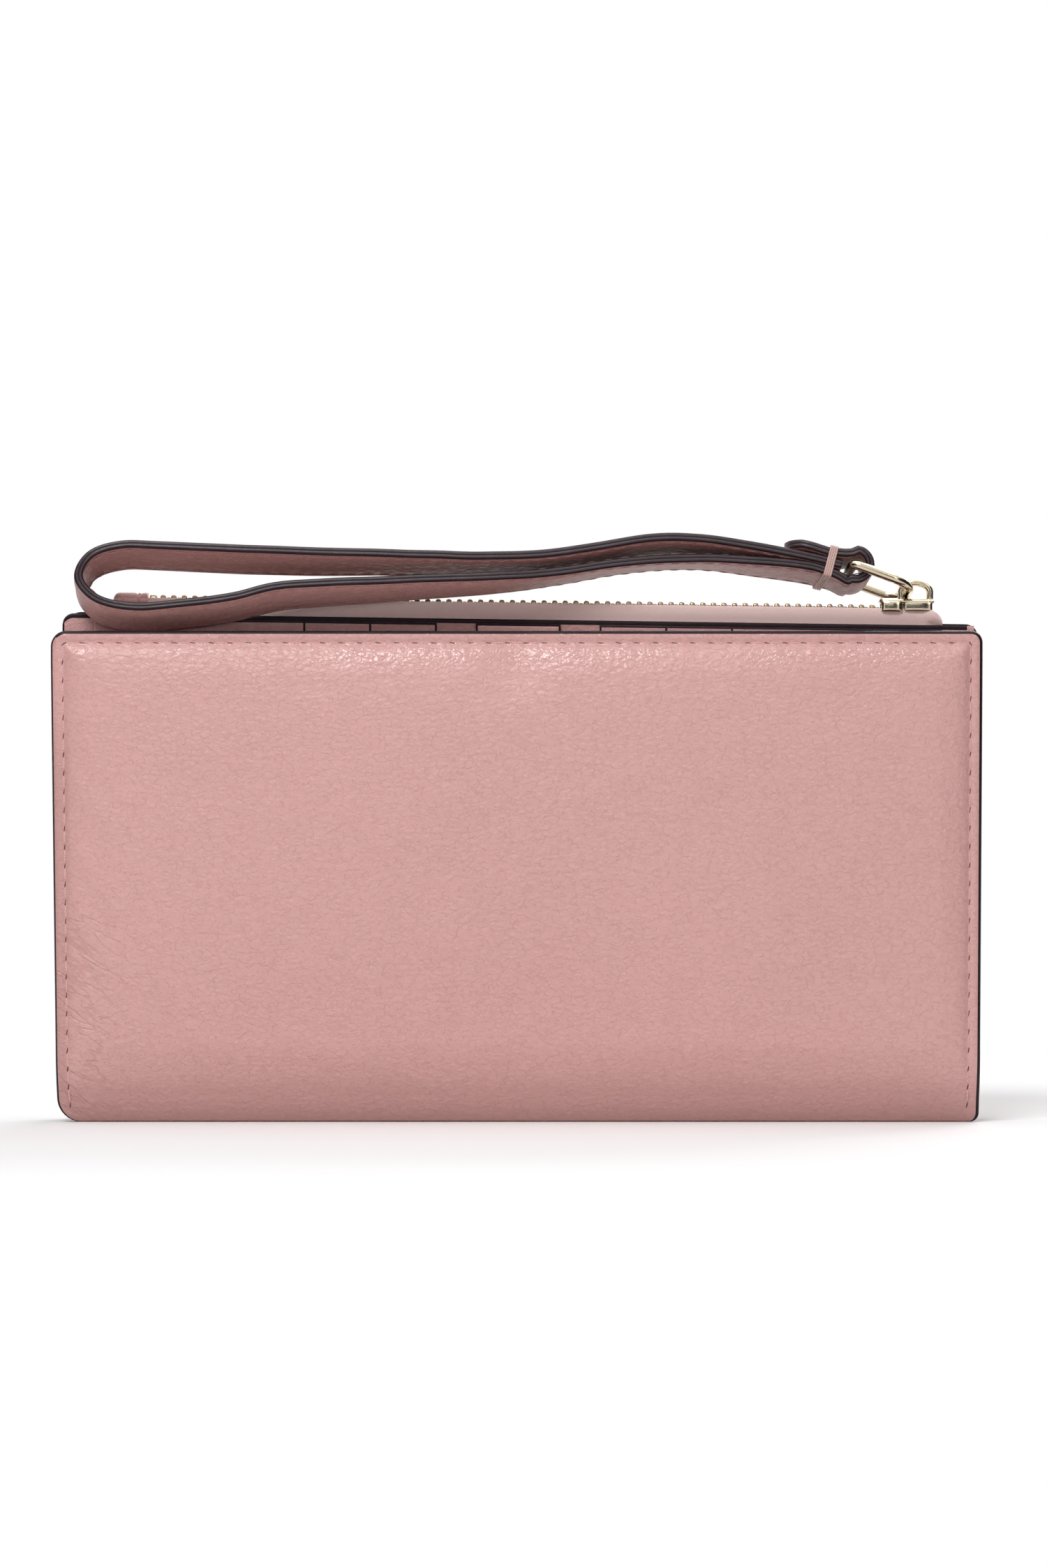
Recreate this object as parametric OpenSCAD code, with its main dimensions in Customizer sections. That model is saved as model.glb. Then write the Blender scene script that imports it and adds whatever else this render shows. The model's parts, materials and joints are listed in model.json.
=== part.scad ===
// Long bifold wristlet wallet, standing on its spine with the wrist strap lying along the top.
// X runs along the spine, Y from the near cover to the far cover, Z up.
// The origin is the middle of the flat spine base.

/* [Covers] */
// Width of the closed wallet along the spine
cover_w = 190; // [170:1:220]
// Height of the near cover above the base
cover_h = 101; // [90:1:120]
// Depth of the closed wallet across the spine
wallet_d = 20; // [20:0.5:26]
// Thickness of the cover leather
leather_t = 1.2; // [0.8:0.1:1.6]
// Outer radius of the roll that turns a cover under into the spine
roll_r = 6; // [4:0.5:8]
// Radius of the upper corners of the covers
corner_r = 2.5; // [1:0.5:6]
// Gap between the rolled lip of the spine and the lower edge of a cover
fold_gap = 0.5; // [0.4:0.1:1.5]
// How far the far cover stands above the near cover at mid width
far_rise = 3.5; // [1:0.5:6]
// Slope of the far half's top edges and zip, falling to the right, in degrees
top_slope = 0.8; // [0:0.1:1.5]

/* [Linings and pockets] */
// Thickness of the stiffening board behind each cover
board_t = 0.8; // [0.5:0.1:1.2]
// Thickness of the fabric lining
lining_t = 0.5; // [0.3:0.1:0.8]
// Thickness of a pocket panel
panel_t = 0.5; // [0.4:0.1:0.8]
// Thickness of one card pocket strip
card_t = 0.4; // [0.3:0.1:0.5]
// Distance from one card pocket edge to the next
card_step = 13.65; // [8:0.05:16]
// Distance from mid width to the innermost card pocket edge
card_start = 16.9; // [12:0.1:22]
// Inset of the boards and linings from the cover's edge
inset = 3; // [2:0.5:6]
// Height of the lower edge of the pocket panels
pocket_floor = 10; // [9:0.5:16]
// Distance from the wallet's side to the side of the pocket panels
pocket_side = 7; // [5:0.5:12]
// Width of the bill slot behind the zip pocket
bill_gap = 0.7; // [0.4:0.1:1]
// Distance from the zip pocket panel's top edge down to the card pockets' top edge
card_drop = 0.8; // [0.4:0.1:4]
// Rise of the zip pocket's front panel above the near cover at mid width
panel_rise = 2.3; // [1:0.1:3]

/* [Press stud] */
// Distance from the near cover's top edge down to the press stud
snap_drop = 13; // [11:0.5:24]
// Diameter of the press stud's flanges
snap_d = 12; // [10:0.5:14]
// Diameter of the stud's head
stud_d = 4.4; // [3:0.1:5]
// Diameter of the rivet post behind each half of the press stud
post_d = 3; // [2:0.1:4]
// Clearance round the stud's head in the socket
snap_clear = 0.3; // [0.2:0.05:0.5]
// Clearance round a rivet post in the panels
post_clear = 0.05; // [0.02:0.01:0.1]
// Thickness of a press stud flange or rivet head
flange_t = 0.8; // [0.5:0.1:1]
// Width of the leather patch behind the stud
patch_w = 17.6; // [16:0.1:22]

/* [Zip] */
// Pitch of the teeth in one row
tooth_pitch = 2.2; // [2:0.1:3]
// Length of one tooth along the zip
tooth_l = 1.2; // [0.8:0.1:1.5]
// Height of the teeth
tooth_h = 2.2; // [1.8:0.1:3]
// Thickness of the zip tape
tape_t = 0.4; // [0.3:0.1:0.6]
// Width of the chain over the outer faces of the tapes
chain_w = 4; // [3.6:0.1:5]
// Gap between the two rows of teeth, through which the slider's web passes
row_gap = 0.8; // [0.6:0.1:1]
// Length of tape below the middle of the chain
tape_drop = 7; // [5:0.5:12]
// Height of the middle of the chain above the near cover at mid width
chain_rise = 6; // [5:0.1:8]
// Distance from the wallet's right side to the middle of the slider
slider_from_side = 14.6; // [12:0.1:24]
// Distance from the wallet's left side to the zip's left end
zip_left_inset = 18; // [16:0.5:40]
// Length of the leather tab over the zip's left end
end_tab_l = 7.2; // [5:0.1:12]
// How far the end tab reaches past the tapes on each side
tab_margin = 0.6; // [0.4:0.1:0.8]
// Thickness of the end tab
tab_t = 3; // [2.4:0.1:3.2]

/* [Slider and ring] */
// Length of the slider body
slider_l = 10.7; // [9:0.1:13]
// Thickness of the slider's plates and flanges
slider_t = 1; // [0.8:0.1:1.2]
// Clearance between the slider and the zip
slider_clear = 0.25; // [0.15:0.05:0.3]
// Width of the bridge along the zip
bridge_w = 7.2; // [6.5:0.1:8]
// Height of the bridge above the slider's top plate
bridge_h = 4; // [3.8:0.1:5]
// Thickness of the bridge's arch
bridge_t = 1.2; // [1:0.1:1.4]
// Size of the bridge across the zip
bridge_d = 3; // [2:0.1:4]
// Diameter of the ring's wire
wire_d = 1.8; // [1.6:0.1:2]
// Distance between the ring's two cross bars
ring_l = 13.5; // [12:0.1:18]
// Inside radius of the ring's corners
ring_corner = 0.7; // [0.4:0.1:1]
// Angle of the ring above the zip at rest, in degrees
ring_tilt = 24; // [20:1:30]

/* [Wrist strap] */
// Width of the strap
strap_w = 11; // [9:0.5:12]
// Thickness of the strap, both plies together
strap_t = 2; // [1.6:0.1:2.2]
// Distance from the ring's bar to the far end of the strap's loop
strap_reach = 160; // [150:1:180]
// Angle at which the layers of strap rise to the left from the ring's bar, in degrees
stack_tilt = 14; // [10:1:18]
// Clearance between the strap and the ring
strap_clear = 0.2; // [0.15:0.05:0.3]
// Gap between the layers of strap under the binding
layer_gap = 0.1; // [0.05:0.05:0.2]
// Distance from the ring's bar to the binding
binding_from_bar = 4.8; // [4.5:0.1:8]
// Length of the folded-back tail past the ring's bar
tail_l = 13; // [10:0.5:16]
// Diameter of the binding thread
thread_d = 0.4; // [0.3:0.05:0.5]
// Distance from one turn of the binding to the next
thread_pitch = 0.85; // [0.84:0.01:1]
// Number of turns in the binding
thread_turns = 3; // [2:1:4]

/* [Hidden] */
$fn = 48;

// Colours, as they show on the object
pink = "#d3a29e";
dark_pink = "#a5706c";
lining_pink = "#caa7a2";
board_grey = "#8d8480";
tape_pink = "#ccb0ac";
gold = "#d9c9a3";
thread_pink = "#e3bcb8";

// Depths of the layers of the near half, from the outside in
near_out = -wallet_d / 2;
near_board_y = near_out + leather_t;
near_lining_y = near_board_y + board_t;
near_slip_y = near_lining_y + lining_t;
near_card_y = near_slip_y + panel_t;

// Depths of the layers of the far half, from the outside in
far_out = wallet_d / 2;
far_board_y = far_out - leather_t - board_t;
far_lining_y = far_board_y - lining_t;
zip_back_y = far_lining_y - bill_gap - panel_t;
zip_y = zip_back_y - chain_w / 2;
zip_front_y = zip_back_y - chain_w - panel_t;
far_card_y = zip_front_y - 3 * card_t;

// Heights
cover_foot = roll_r + fold_gap;
inner_foot = cover_foot + 1.5;
slope_run = tan(top_slope);
far_top = cover_h + far_rise;
panel_top = cover_h + panel_rise;
chain_z = cover_h + chain_rise;
snap_z = cover_h - snap_drop;

// Places along the zip
half_w = cover_w / 2;
zip_left = -half_w + zip_left_inset;
slider_x = half_w - slider_from_side;
tape_right = slider_x + 1.4;
teeth_right = slider_x - 1.2;
stop_l = 1.4;
tab_gap = 0.1;
pocket_half = half_w - pocket_side;

// Slider, measured from the middle of the chain
plate_z = tooth_h / 2 + slider_clear;
slider_half = chain_w / 2 + slider_clear + slider_t;
bridge_z = plate_z + slider_t;
bridge_x = slider_l / 2 - bridge_w / 2;
bar_x = bridge_x - bridge_w / 2 + bridge_t + wire_d / 2 + 0.1;
bar_z = bridge_z + (bridge_h - bridge_t) / 2;

// Ring's hinge bar and the bar that holds the strap, in the part's own frame
hinge_x = slider_x + bar_x * cos(top_slope) + bar_z * sin(top_slope);
hinge_z = chain_z - slope_run * slider_x - bar_x * sin(top_slope) + bar_z * cos(top_slope);
eye_x = hinge_x - ring_l * cos(ring_tilt);
eye_z = hinge_z + ring_l * sin(ring_tilt);
leg_y = strap_w / 2 + 2 * strap_clear + wire_d / 2;

// Strap
ply_t = strap_t / 2;
eye_r = wire_d / 2 + strap_clear + ply_t;
layer_z = strap_t + layer_gap;
loop_tilt = 24;
reach_k = strap_reach / 160;

// Flat panel standing across Y, with its top edge sloped by the far half's slope where asked
module panel(x0, x1, z0, z_mid, y0, thick, r = 0, sloping = false) {
    k = sloping ? 1 : 0;
    z_left = z_mid - k * slope_run * x0;
    z_right = z_mid - k * slope_run * x1;
    translate([0, y0 + thick, 0])
        rotate([90, 0, 0])
            linear_extrude(thick)
                rounded_top(x0, x1, z0, z_left, z_right, r);
}

// Outline with a straight top edge between two rounded upper corners
module rounded_top(x0, x1, z0, z_left, z_right, r) {
    if (r > 0) {
        polygon([[x0, z0], [x1, z0], [x1, z_right - r], [x1 - r, z_right],
                 [x0 + r, z_left], [x0, z_left - r]]);
        translate([x0 + r, z_left - r]) circle(r);
        translate([x1 - r, z_right - r]) circle(r);
    } else {
        polygon([[x0, z0], [x1, z0], [x1, z_right], [x0, z_left]]);
    }
}

// Round bar along Y
module y_bar(x, y0, y1, z, d) {
    translate([x, y0, z]) rotate([-90, 0, 0]) cylinder(d = d, h = y1 - y0);
}

// Spine: the leather that turns under from one cover to the other

// Trough section of the spine, drawn in Y and Z
module spine_section(y_half, z_low, r) {
    translate([-y_half + r, z_low]) square([2 * (y_half - r), roll_r - z_low]);
    for (s = [-1, 1])
        intersection() {
            translate([s * (y_half - r), z_low + r]) circle(r);
            translate([s > 0 ? y_half - r : -y_half, z_low]) square([r, r]);
        }
}

module spine_cover() {
    color(pink)
        translate([-half_w, 0, 0])
            rotate([90, 0, 90])
                linear_extrude(cover_w)
                    difference() {
                        spine_section(wallet_d / 2, 0, roll_r);
                        spine_section(wallet_d / 2 - leather_t, leather_t, roll_r - leather_t);
                    }
}

module spine_lining() {
    flat = wallet_d - 2 * roll_r;
    color(lining_pink)
        translate([-half_w + inset, -flat / 2, leather_t])
            cube([cover_w - 2 * inset, flat, lining_t]);
}

// Near half: cover, board, lining, slip pocket and card pockets

module near_cover() {
    color(pink) panel(-half_w, half_w, cover_foot, cover_h, near_out, leather_t, corner_r);
}

module near_board() {
    color(board_grey)
        difference() {
            panel(-half_w + inset, half_w - inset, inner_foot, cover_h - inset, near_board_y, board_t);
            y_bar(0, near_board_y - 1, near_board_y + board_t + 1, snap_z, snap_d + 2 * post_clear);
        }
}

module near_lining() {
    color(lining_pink)
        difference() {
            panel(-half_w + inset, half_w - inset, inner_foot, cover_h - 1, near_lining_y, lining_t);
            y_bar(0, near_lining_y - 1, near_lining_y + lining_t + 1, snap_z, post_d + 2 * post_clear);
        }
}

module near_slip_pocket() {
    color(pink)
        difference() {
            panel(-pocket_half, pocket_half, pocket_floor, cover_h - 2, near_slip_y, panel_t);
            y_bar(0, near_slip_y - 1, near_slip_y + panel_t + 1, snap_z, post_d + 2 * post_clear);
        }
}

// One strip of a bank of card pockets: each strip starts one step further out than the one behind
module near_card(side, k) {
    x0 = card_start + (k - 1) * card_step;
    color(pink)
        mirror([side > 0 ? 0 : 1, 0, 0])
            panel(x0, pocket_half, pocket_floor, cover_h - 3, near_card_y + (k - 1) * card_t, card_t);
}

module near_card_left_1() { near_card(-1, 1); }
module near_card_left_2() { near_card(-1, 2); }
module near_card_left_3() { near_card(-1, 3); }
module near_card_right_1() { near_card(1, 1); }
module near_card_right_2() { near_card(1, 2); }
module near_card_right_3() { near_card(1, 3); }

// Press stud: the cap and socket sit in the near half, the post and stud in the far half

// Face of the stud's flange, and how far the stud reaches from it into the socket
stud_face = zip_front_y - 3 * card_t - flange_t;
stud_reach = 3.8;
socket_depth = 2.2;
socket_face = stud_face - stud_reach + socket_depth - 0.4;

module snap_cap() {
    color(gold) {
        y_bar(0, near_board_y, near_board_y + board_t, snap_z, snap_d);
        y_bar(0, near_board_y, near_card_y + flange_t, snap_z, post_d);
    }
}

module snap_socket() {
    color(gold)
        difference() {
            union() {
                y_bar(0, near_card_y, near_card_y + flange_t, snap_z, snap_d);
                y_bar(0, near_card_y, socket_face, snap_z, stud_d + 4);
            }
            y_bar(0, socket_face - socket_depth, socket_face + 1, snap_z, stud_d + 2 * snap_clear);
            y_bar(0, near_card_y - 1, near_card_y + flange_t + post_clear, snap_z, post_d + 2 * post_clear);
        }
}

module snap_patch() {
    color(pink)
        difference() {
            panel(-patch_w / 2, patch_w / 2, snap_z - patch_w, panel_top - card_drop, far_card_y, 3 * card_t);
            y_bar(0, far_card_y - 1, zip_front_y + 1, snap_z, post_d + 2 * post_clear);
        }
}

module snap_post() {
    color(gold) {
        y_bar(0, zip_front_y + panel_t, zip_front_y + panel_t + flange_t, snap_z, snap_d - 2);
        y_bar(0, far_card_y, zip_front_y + panel_t, snap_z, post_d);
    }
}

module snap_stud() {
    color(gold) {
        y_bar(0, stud_face, far_card_y, snap_z, snap_d);
        y_bar(0, stud_face - stud_reach, stud_face, snap_z, stud_d);
    }
}

// Far half: cover, board, lining, zip pocket and card pockets

module far_cover() {
    color(pink)
        panel(-half_w, half_w, cover_foot, far_top, far_out - leather_t, leather_t, corner_r, true);
}

module far_board() {
    color(board_grey)
        panel(-half_w + inset, half_w - inset, inner_foot, far_top - inset, far_board_y, board_t, 0, true);
}

module far_lining() {
    color(lining_pink)
        panel(-half_w + inset, half_w - inset, inner_foot, far_top - 1, far_lining_y, lining_t, 0, true);
}

module zip_pocket_back() {
    color(pink)
        panel(-pocket_half, pocket_half, pocket_floor, panel_top, zip_back_y, panel_t, 0, true);
}

module zip_pocket_front() {
    color(pink)
        difference() {
            panel(-pocket_half, pocket_half, pocket_floor, panel_top, zip_front_y, panel_t, 0, true);
            y_bar(0, zip_front_y - 1, zip_front_y + panel_t + 1, snap_z, post_d + 2 * post_clear);
        }
}

// Floor and side walls that close the zip pocket below its tapes
module zip_pocket_gusset() {
    side_top = chain_z - tape_drop - slope_run * half_w - 1;
    color(lining_pink)
        translate([0, zip_front_y + panel_t + chain_w, 0])
            rotate([90, 0, 0])
                linear_extrude(chain_w)
                    difference() {
                        translate([-pocket_half, pocket_floor])
                            square([2 * pocket_half, side_top - pocket_floor]);
                        translate([-pocket_half + lining_t, pocket_floor + lining_t])
                            square([2 * (pocket_half - lining_t), side_top]);
                    }
}

module far_card(side, k) {
    edge = card_start + (k - 1) * card_step;
    x0 = side > 0 ? edge : -pocket_half;
    x1 = side > 0 ? pocket_half : -edge;
    color(pink)
        panel(x0, x1, pocket_floor, panel_top - card_drop, zip_front_y - k * card_t, card_t, 0, true);
}

module far_card_left_1() { far_card(-1, 1); }
module far_card_left_2() { far_card(-1, 2); }
module far_card_left_3() { far_card(-1, 3); }
module far_card_right_1() { far_card(1, 1); }
module far_card_right_2() { far_card(1, 2); }
module far_card_right_3() { far_card(1, 3); }

// Zip, drawn in its own frame: X along the chain, the middle of the chain at the origin

module on_zip() {
    translate([0, zip_y, chain_z]) rotate([0, top_slope, 0]) children();
}

module zip_tape(side) {
    y0 = side > 0 ? chain_w / 2 - tape_t : -chain_w / 2;
    color(tape_pink)
        on_zip()
            translate([zip_left, y0, -tape_drop])
                cube([tape_right - zip_left, tape_t, tape_drop - 0.2]);
}

module zip_tape_front() { zip_tape(-1); }
module zip_tape_back() { zip_tape(1); }

// One tooth hooked over the upper edge of its tape, for the front row
module tooth() {
    inner = chain_w / 2 - tape_t;
    translate([-tooth_l / 2, -inner, -tooth_h / 2])
        cube([tooth_l, inner - row_gap / 2, tooth_h]);
    translate([-tooth_l / 2, -chain_w / 2, -0.2])
        cube([tooth_l, tape_t, tooth_h / 2 + 0.2]);
}

teeth_left = zip_left + 3.2;
teeth_count = floor((teeth_right - teeth_left) / tooth_pitch);

module zip_teeth(side) {
    shift = side > 0 ? tooth_pitch / 2 : 0;
    color(gold)
        on_zip()
            for (i = [0 : teeth_count - 1])
                translate([teeth_left + shift + i * tooth_pitch, 0, 0])
                    mirror([0, side > 0 ? 1 : 0, 0])
                        tooth();
}

module zip_teeth_front() { zip_teeth(-1); }
module zip_teeth_back() { zip_teeth(1); }

// Stop across both tapes at the left end of the chain
module zip_bottom_stop() {
    inner = chain_w / 2 - tape_t;
    color(gold)
        on_zip()
            translate([zip_left + 0.4, -inner, -tooth_h / 2])
                cube([stop_l, 2 * inner, tooth_h]);
}

// A stop on each tape at the right end of the chain
module zip_top_stops() {
    inner = chain_w / 2 - tape_t;
    color(gold)
        on_zip()
            for (s = [0, 1])
                mirror([0, s, 0])
                    translate([tape_right - stop_l, -inner, -tooth_h / 2])
                        cube([stop_l, inner - row_gap / 2, tooth_h]);
}

// Leather tab over the left end of the tapes
module zip_end_tab() {
    half = chain_w / 2 + tab_margin;
    color(pink)
        on_zip()
            translate([zip_left - tab_gap, 0, -tab_t / 2])
                linear_extrude(tab_t) {
                    translate([-end_tab_l + half, -half]) square([end_tab_l - half, 2 * half]);
                    intersection() {
                        translate([-end_tab_l + half, 0]) circle(half);
                        translate([-end_tab_l, -half]) square([half, 2 * half]);
                    }
                }
}

// Slider: plates above and below the chain, joined by a web between the rows of teeth

module slider_body() {
    web_t = row_gap - 2 * 0.2;
    low_half = chain_w / 2 - tape_t - slider_clear;
    color(gold)
        on_zip()
            translate([slider_x, 0, 0]) {
                translate([-slider_l / 2, -slider_half, plate_z])
                    cube([slider_l, 2 * slider_half, slider_t]);
                for (s = [0, 1])
                    mirror([0, s, 0])
                        translate([-slider_l / 2, slider_half - slider_t, -plate_z])
                            cube([slider_l, slider_t, 2 * plate_z]);
                translate([-slider_l / 2, -low_half, -plate_z - slider_t])
                    cube([slider_l, 2 * low_half, slider_t]);
                translate([-slider_l / 4, -web_t / 2, -plate_z])
                    cube([slider_l / 2, web_t, 2 * plate_z]);
            }
}

// Arch that carries the ring, its opening running across the zip
module slider_bridge() {
    bridge_r = 2;
    hole_w = bridge_w - 2 * bridge_t;
    hole_h = bridge_h - bridge_t;
    color(gold)
        on_zip()
            translate([slider_x + bridge_x, bridge_d / 2, bridge_z])
                rotate([90, 0, 0])
                    linear_extrude(bridge_d)
                        difference() {
                            rounded_top(-bridge_w / 2, bridge_w / 2, 0, bridge_h, bridge_h, bridge_r);
                            rounded_top(-hole_w / 2, hole_w / 2, -1, hole_h, hole_h, bridge_r - bridge_t);
                        }
}

// Ring: a rounded rectangle of wire, lying in a plane that rises to the left from the bridge
module pull_ring() {
    bend_r = ring_corner + wire_d / 2;
    color(gold)
        translate([hinge_x, zip_y, hinge_z])
            rotate([0, ring_tilt, 0]) {
                for (x = [0, -ring_l])
                    y_bar(x, -leg_y + bend_r, leg_y - bend_r, 0, wire_d);
                for (s = [-1, 1])
                    translate([-ring_l + bend_r, s * leg_y, 0])
                        rotate([0, 90, 0])
                            cylinder(d = wire_d, h = ring_l - 2 * bend_r);
                ring_bend(-bend_r, leg_y - bend_r, 0, bend_r);
                ring_bend(-ring_l + bend_r, leg_y - bend_r, 90, bend_r);
                ring_bend(-ring_l + bend_r, -leg_y + bend_r, 180, bend_r);
                ring_bend(-bend_r, -leg_y + bend_r, 270, bend_r);
            }
}

// Quarter bend of the ring's wire
module ring_bend(x, y, turn, bend_r) {
    translate([x, y, 0])
        rotate([0, 0, turn])
            rotate_extrude(angle = 90)
                translate([bend_r, 0])
                    circle(d = wire_d);
}

// Wrist strap: one band of two plies that leaves the binding along the top, turns back at the far
// end of the loop, comes back below, goes round the ring's bar and ends as a tail over the binding

// Place in the layers of strap beside the ring's bar: distance along them and height above the middle
function in_stack(d, h) =
    [d * cos(stack_tilt) - h * sin(stack_tilt), d * sin(stack_tilt) + h * cos(stack_tilt), 0, 0];

// Lie of the strap: distance from the ring's bar, height above it, offset across the zip, tilt
upper_lie = [
    in_stack(3, 0), in_stack(9, 0), [21, 5.0, -0.8, 2], [31.5, 6.5, -1.8, 3], [42.5, 5.7, -3.2, 5],
    [60.5, 2.0, -5.8, 10], [74.5, 0.5, -7.5, 15], [88.5, 0.4, -8.3, 19],
    [117.5, 0.8, -9.4, loop_tilt], [142.5, 1.8, -9.4, loop_tilt], [151, 1.8, -9.4, loop_tilt]
];
bend_lie = [
    [156.8, -0.2, -9.4, loop_tilt], [159.2, -4.8, -9.4, loop_tilt], [155.5, -9.2, -9.4, loop_tilt]
];
lower_lie = [
    [148, -10.8, -9.4, loop_tilt], [139, -10.2, -9.4, loop_tilt], [127.5, -8.7, -9.4, loop_tilt],
    [117, -6.4, -9.4, loop_tilt], [94.5, -5.0, -9.0, 20], [74.5, -3.8, -8.0, 15],
    [62, -2.4, -6.0, 10], [46, 0.7, -4.0, 6], [32, 2.1, -1.9, 3], [18, 1.5, -0.6, 1],
    in_stack(9, -eye_r), in_stack(4, -eye_r), in_stack(0, -eye_r)
];
lie = concat(upper_lie, bend_lie, lower_lie);

// Point of the lie in the part's own frame, with the tilt as its fourth number
function lie_point(p) = [eye_x - reach_k * p[0], zip_y + p[2], eye_z + p[1], p[3]];

// Smooth curve through four neighbouring points
function smooth(a, b, c, d, t) =
    0.5 * (2 * b + (c - a) * t + (2 * a - 5 * b + 4 * c - d) * t * t
           + (3 * b - a - 3 * c + d) * t * t * t);

function at(list, i) = list[max(0, min(len(list) - 1, i))];
lie_points = [for (p = lie) lie_point(p)];
steps = 3;
long_run = [
    for (i = [0 : len(lie_points) - 2], k = [0 : steps - 1])
        smooth(at(lie_points, i - 1), at(lie_points, i), at(lie_points, i + 1), at(lie_points, i + 2),
               k / steps)
];

// Turn round the ring's bar, and the tail that follows it
eye_turn = [
    for (k = [0 : 8])
        let (a = -90 - stack_tilt + 22.5 * k)
            [eye_x + eye_r * cos(a), zip_y, eye_z + eye_r * sin(a), 0]
];
tail_lift = 0.6;
tail_run = [
    for (k = [1 : 5])
        let (p = in_stack(tail_l * k / 5, eye_r + tail_lift * pow(k / 5, 2)))
            [eye_x - p[0], zip_y, eye_z + p[1], 0]
];
strap_line = concat(long_run, eye_turn, tail_run);

// Direction along the strap, direction across its width, and direction towards the loop's inside
function flat3(p) = [p[0], p[1], p[2]];
function along(i) =
    let (d = flat3(at(strap_line, i + 1)) - flat3(at(strap_line, i - 1))) d / norm(d);
function across(i) = [0, cos(strap_line[i][3]), -sin(strap_line[i][3])];
function inward(i) = let (n = cross(along(i), across(i))) n / norm(n);

// Four corners of one ply at a point of the strap, between two offsets from its middle
function ply_ring(i, low, high) =
    let (p = flat3(strap_line[i]), w = across(i) * strap_w / 2, n = inward(i))
        [p - w + n * low, p + w + n * low, p + w + n * high, p - w + n * high];

// Closed skin over a row of four-cornered rings
module band(rings) {
    count = len(rings);
    points = [for (r = rings, p = r) p];
    sides = [
        for (i = [0 : count - 2], k = [0 : 3])
            let (a = i * 4 + k, b = i * 4 + (k + 1) % 4)
                each [[a, b, b + 4], [a, b + 4, a + 4]]
    ];
    last = (count - 1) * 4;
    ends = [[0, 2, 1], [0, 3, 2], [last, last + 1, last + 2], [last, last + 2, last + 3]];
    polyhedron(points, concat(sides, ends), convexity = 8);
}

module strap_outer() {
    color(pink) band([for (i = [0 : len(strap_line) - 1]) ply_ring(i, -ply_t, 0)]);
}

module strap_lining() {
    color(dark_pink) band([for (i = [0 : len(strap_line) - 1]) ply_ring(i, 0, ply_t)]);
}

// Binding: one thread wound round the three layers of strap

bind_y = strap_w / 2;
bind_z = 3 * strap_t / 2 + layer_gap;
bind_r = thread_d / 2 + 0.15;
corner_steps = 3;
side_steps = 3;

// One turn of the thread as points round a rectangle with rounded corners, in Y and Z
turn_points = [
    for (c = [0 : 3])
        let (sy = c == 0 || c == 3 ? 1 : -1, sz = c < 2 ? 1 : -1, a0 = c * 90,
             next = [c == 0 ? -1 : c == 2 ? 1 : sy, c == 1 ? -1 : c == 3 ? 1 : sz],
             a1 = a0 + 90)
            each concat(
                [for (k = [0 : corner_steps - 1])
                    let (a = a0 + 90 * k / (corner_steps - 1))
                        [sy * bind_y + bind_r * cos(a), sz * bind_z + bind_r * sin(a)]],
                [for (k = [1 : side_steps])
                    let (t = k / (side_steps + 1))
                        [(1 - t) * sy * bind_y + t * next[0] * bind_y + bind_r * cos(a1),
                         (1 - t) * sz * bind_z + t * next[1] * bind_z + bind_r * sin(a1)]])
];
turn_n = len(turn_points);
bind_start = binding_from_bar - thread_turns * thread_pitch / 2;
thread_line = [
    for (i = [0 : thread_turns * turn_n])
        let (p = turn_points[i % turn_n], q = in_stack(bind_start + thread_pitch * i / turn_n, p[1]))
            [eye_x - q[0], zip_y + p[0], eye_z + q[1]]
];

// Six-sided ring of the thread at one of its points
function thread_ring(i) =
    let (d = at(thread_line, i + 1) - at(thread_line, i - 1), t = d / norm(d),
         u = cross(t, [1, 0, 0]) / norm(cross(t, [1, 0, 0])), v = cross(t, u))
        [for (k = [0 : 5]) thread_line[i] + thread_d / 2 * (cos(60 * k) * u + sin(60 * k) * v)];

// Least gap between one turn and the next, over the points that lie a near turn apart
thread_gap = min([
    for (i = [0 : len(thread_line) - 1], j = [i + turn_n / 2 : 1 : len(thread_line) - 1])
        norm(thread_line[i] - thread_line[j])
]) - thread_d;
echo(binding_least_gap_mm = thread_gap);

module strap_binding() {
    rings = [for (i = [0 : len(thread_line) - 1]) thread_ring(i)];
    count = len(rings);
    points = [for (r = rings, p = r) p];
    sides = [
        for (i = [0 : count - 2], k = [0 : 5])
            let (a = i * 6 + k, b = i * 6 + (k + 1) % 6)
                each [[a, b, b + 6], [a, b + 6, a + 6]]
    ];
    last = (count - 1) * 6;
    ends = [for (k = [1 : 4]) each [[0, k + 1, k], [last, last + k, last + k + 1]]];
    color(thread_pink) polyhedron(points, concat(sides, ends), convexity = 8);
}

spine_cover();
spine_lining();
near_cover();
near_board();
near_lining();
near_slip_pocket();
near_card_left_1();
near_card_left_2();
near_card_left_3();
near_card_right_1();
near_card_right_2();
near_card_right_3();
snap_cap();
snap_socket();
far_cover();
far_board();
far_lining();
zip_pocket_back();
zip_pocket_front();
zip_pocket_gusset();
far_card_left_1();
far_card_left_2();
far_card_left_3();
far_card_right_1();
far_card_right_2();
far_card_right_3();
snap_patch();
snap_post();
snap_stud();
zip_tape_front();
zip_tape_back();
zip_teeth_front();
zip_teeth_back();
zip_bottom_stop();
zip_top_stops();
zip_end_tab();
slider_body();
slider_bridge();
pull_ring();
strap_outer();
strap_lining();
strap_binding();
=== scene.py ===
# %% [markdown]
# A wristlet wallet of soft pink leather, standing on its spine with the wrist strap lying along the
# top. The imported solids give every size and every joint. This lesson loads them as a fixed frame and
# dresses them: leather skins that roll round the spine, stitching, painted edges, a zip, and a strap.

# %% Load the frame
import functools
import json
import math

import bpy
import numpy as np
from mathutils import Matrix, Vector, noise


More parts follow.
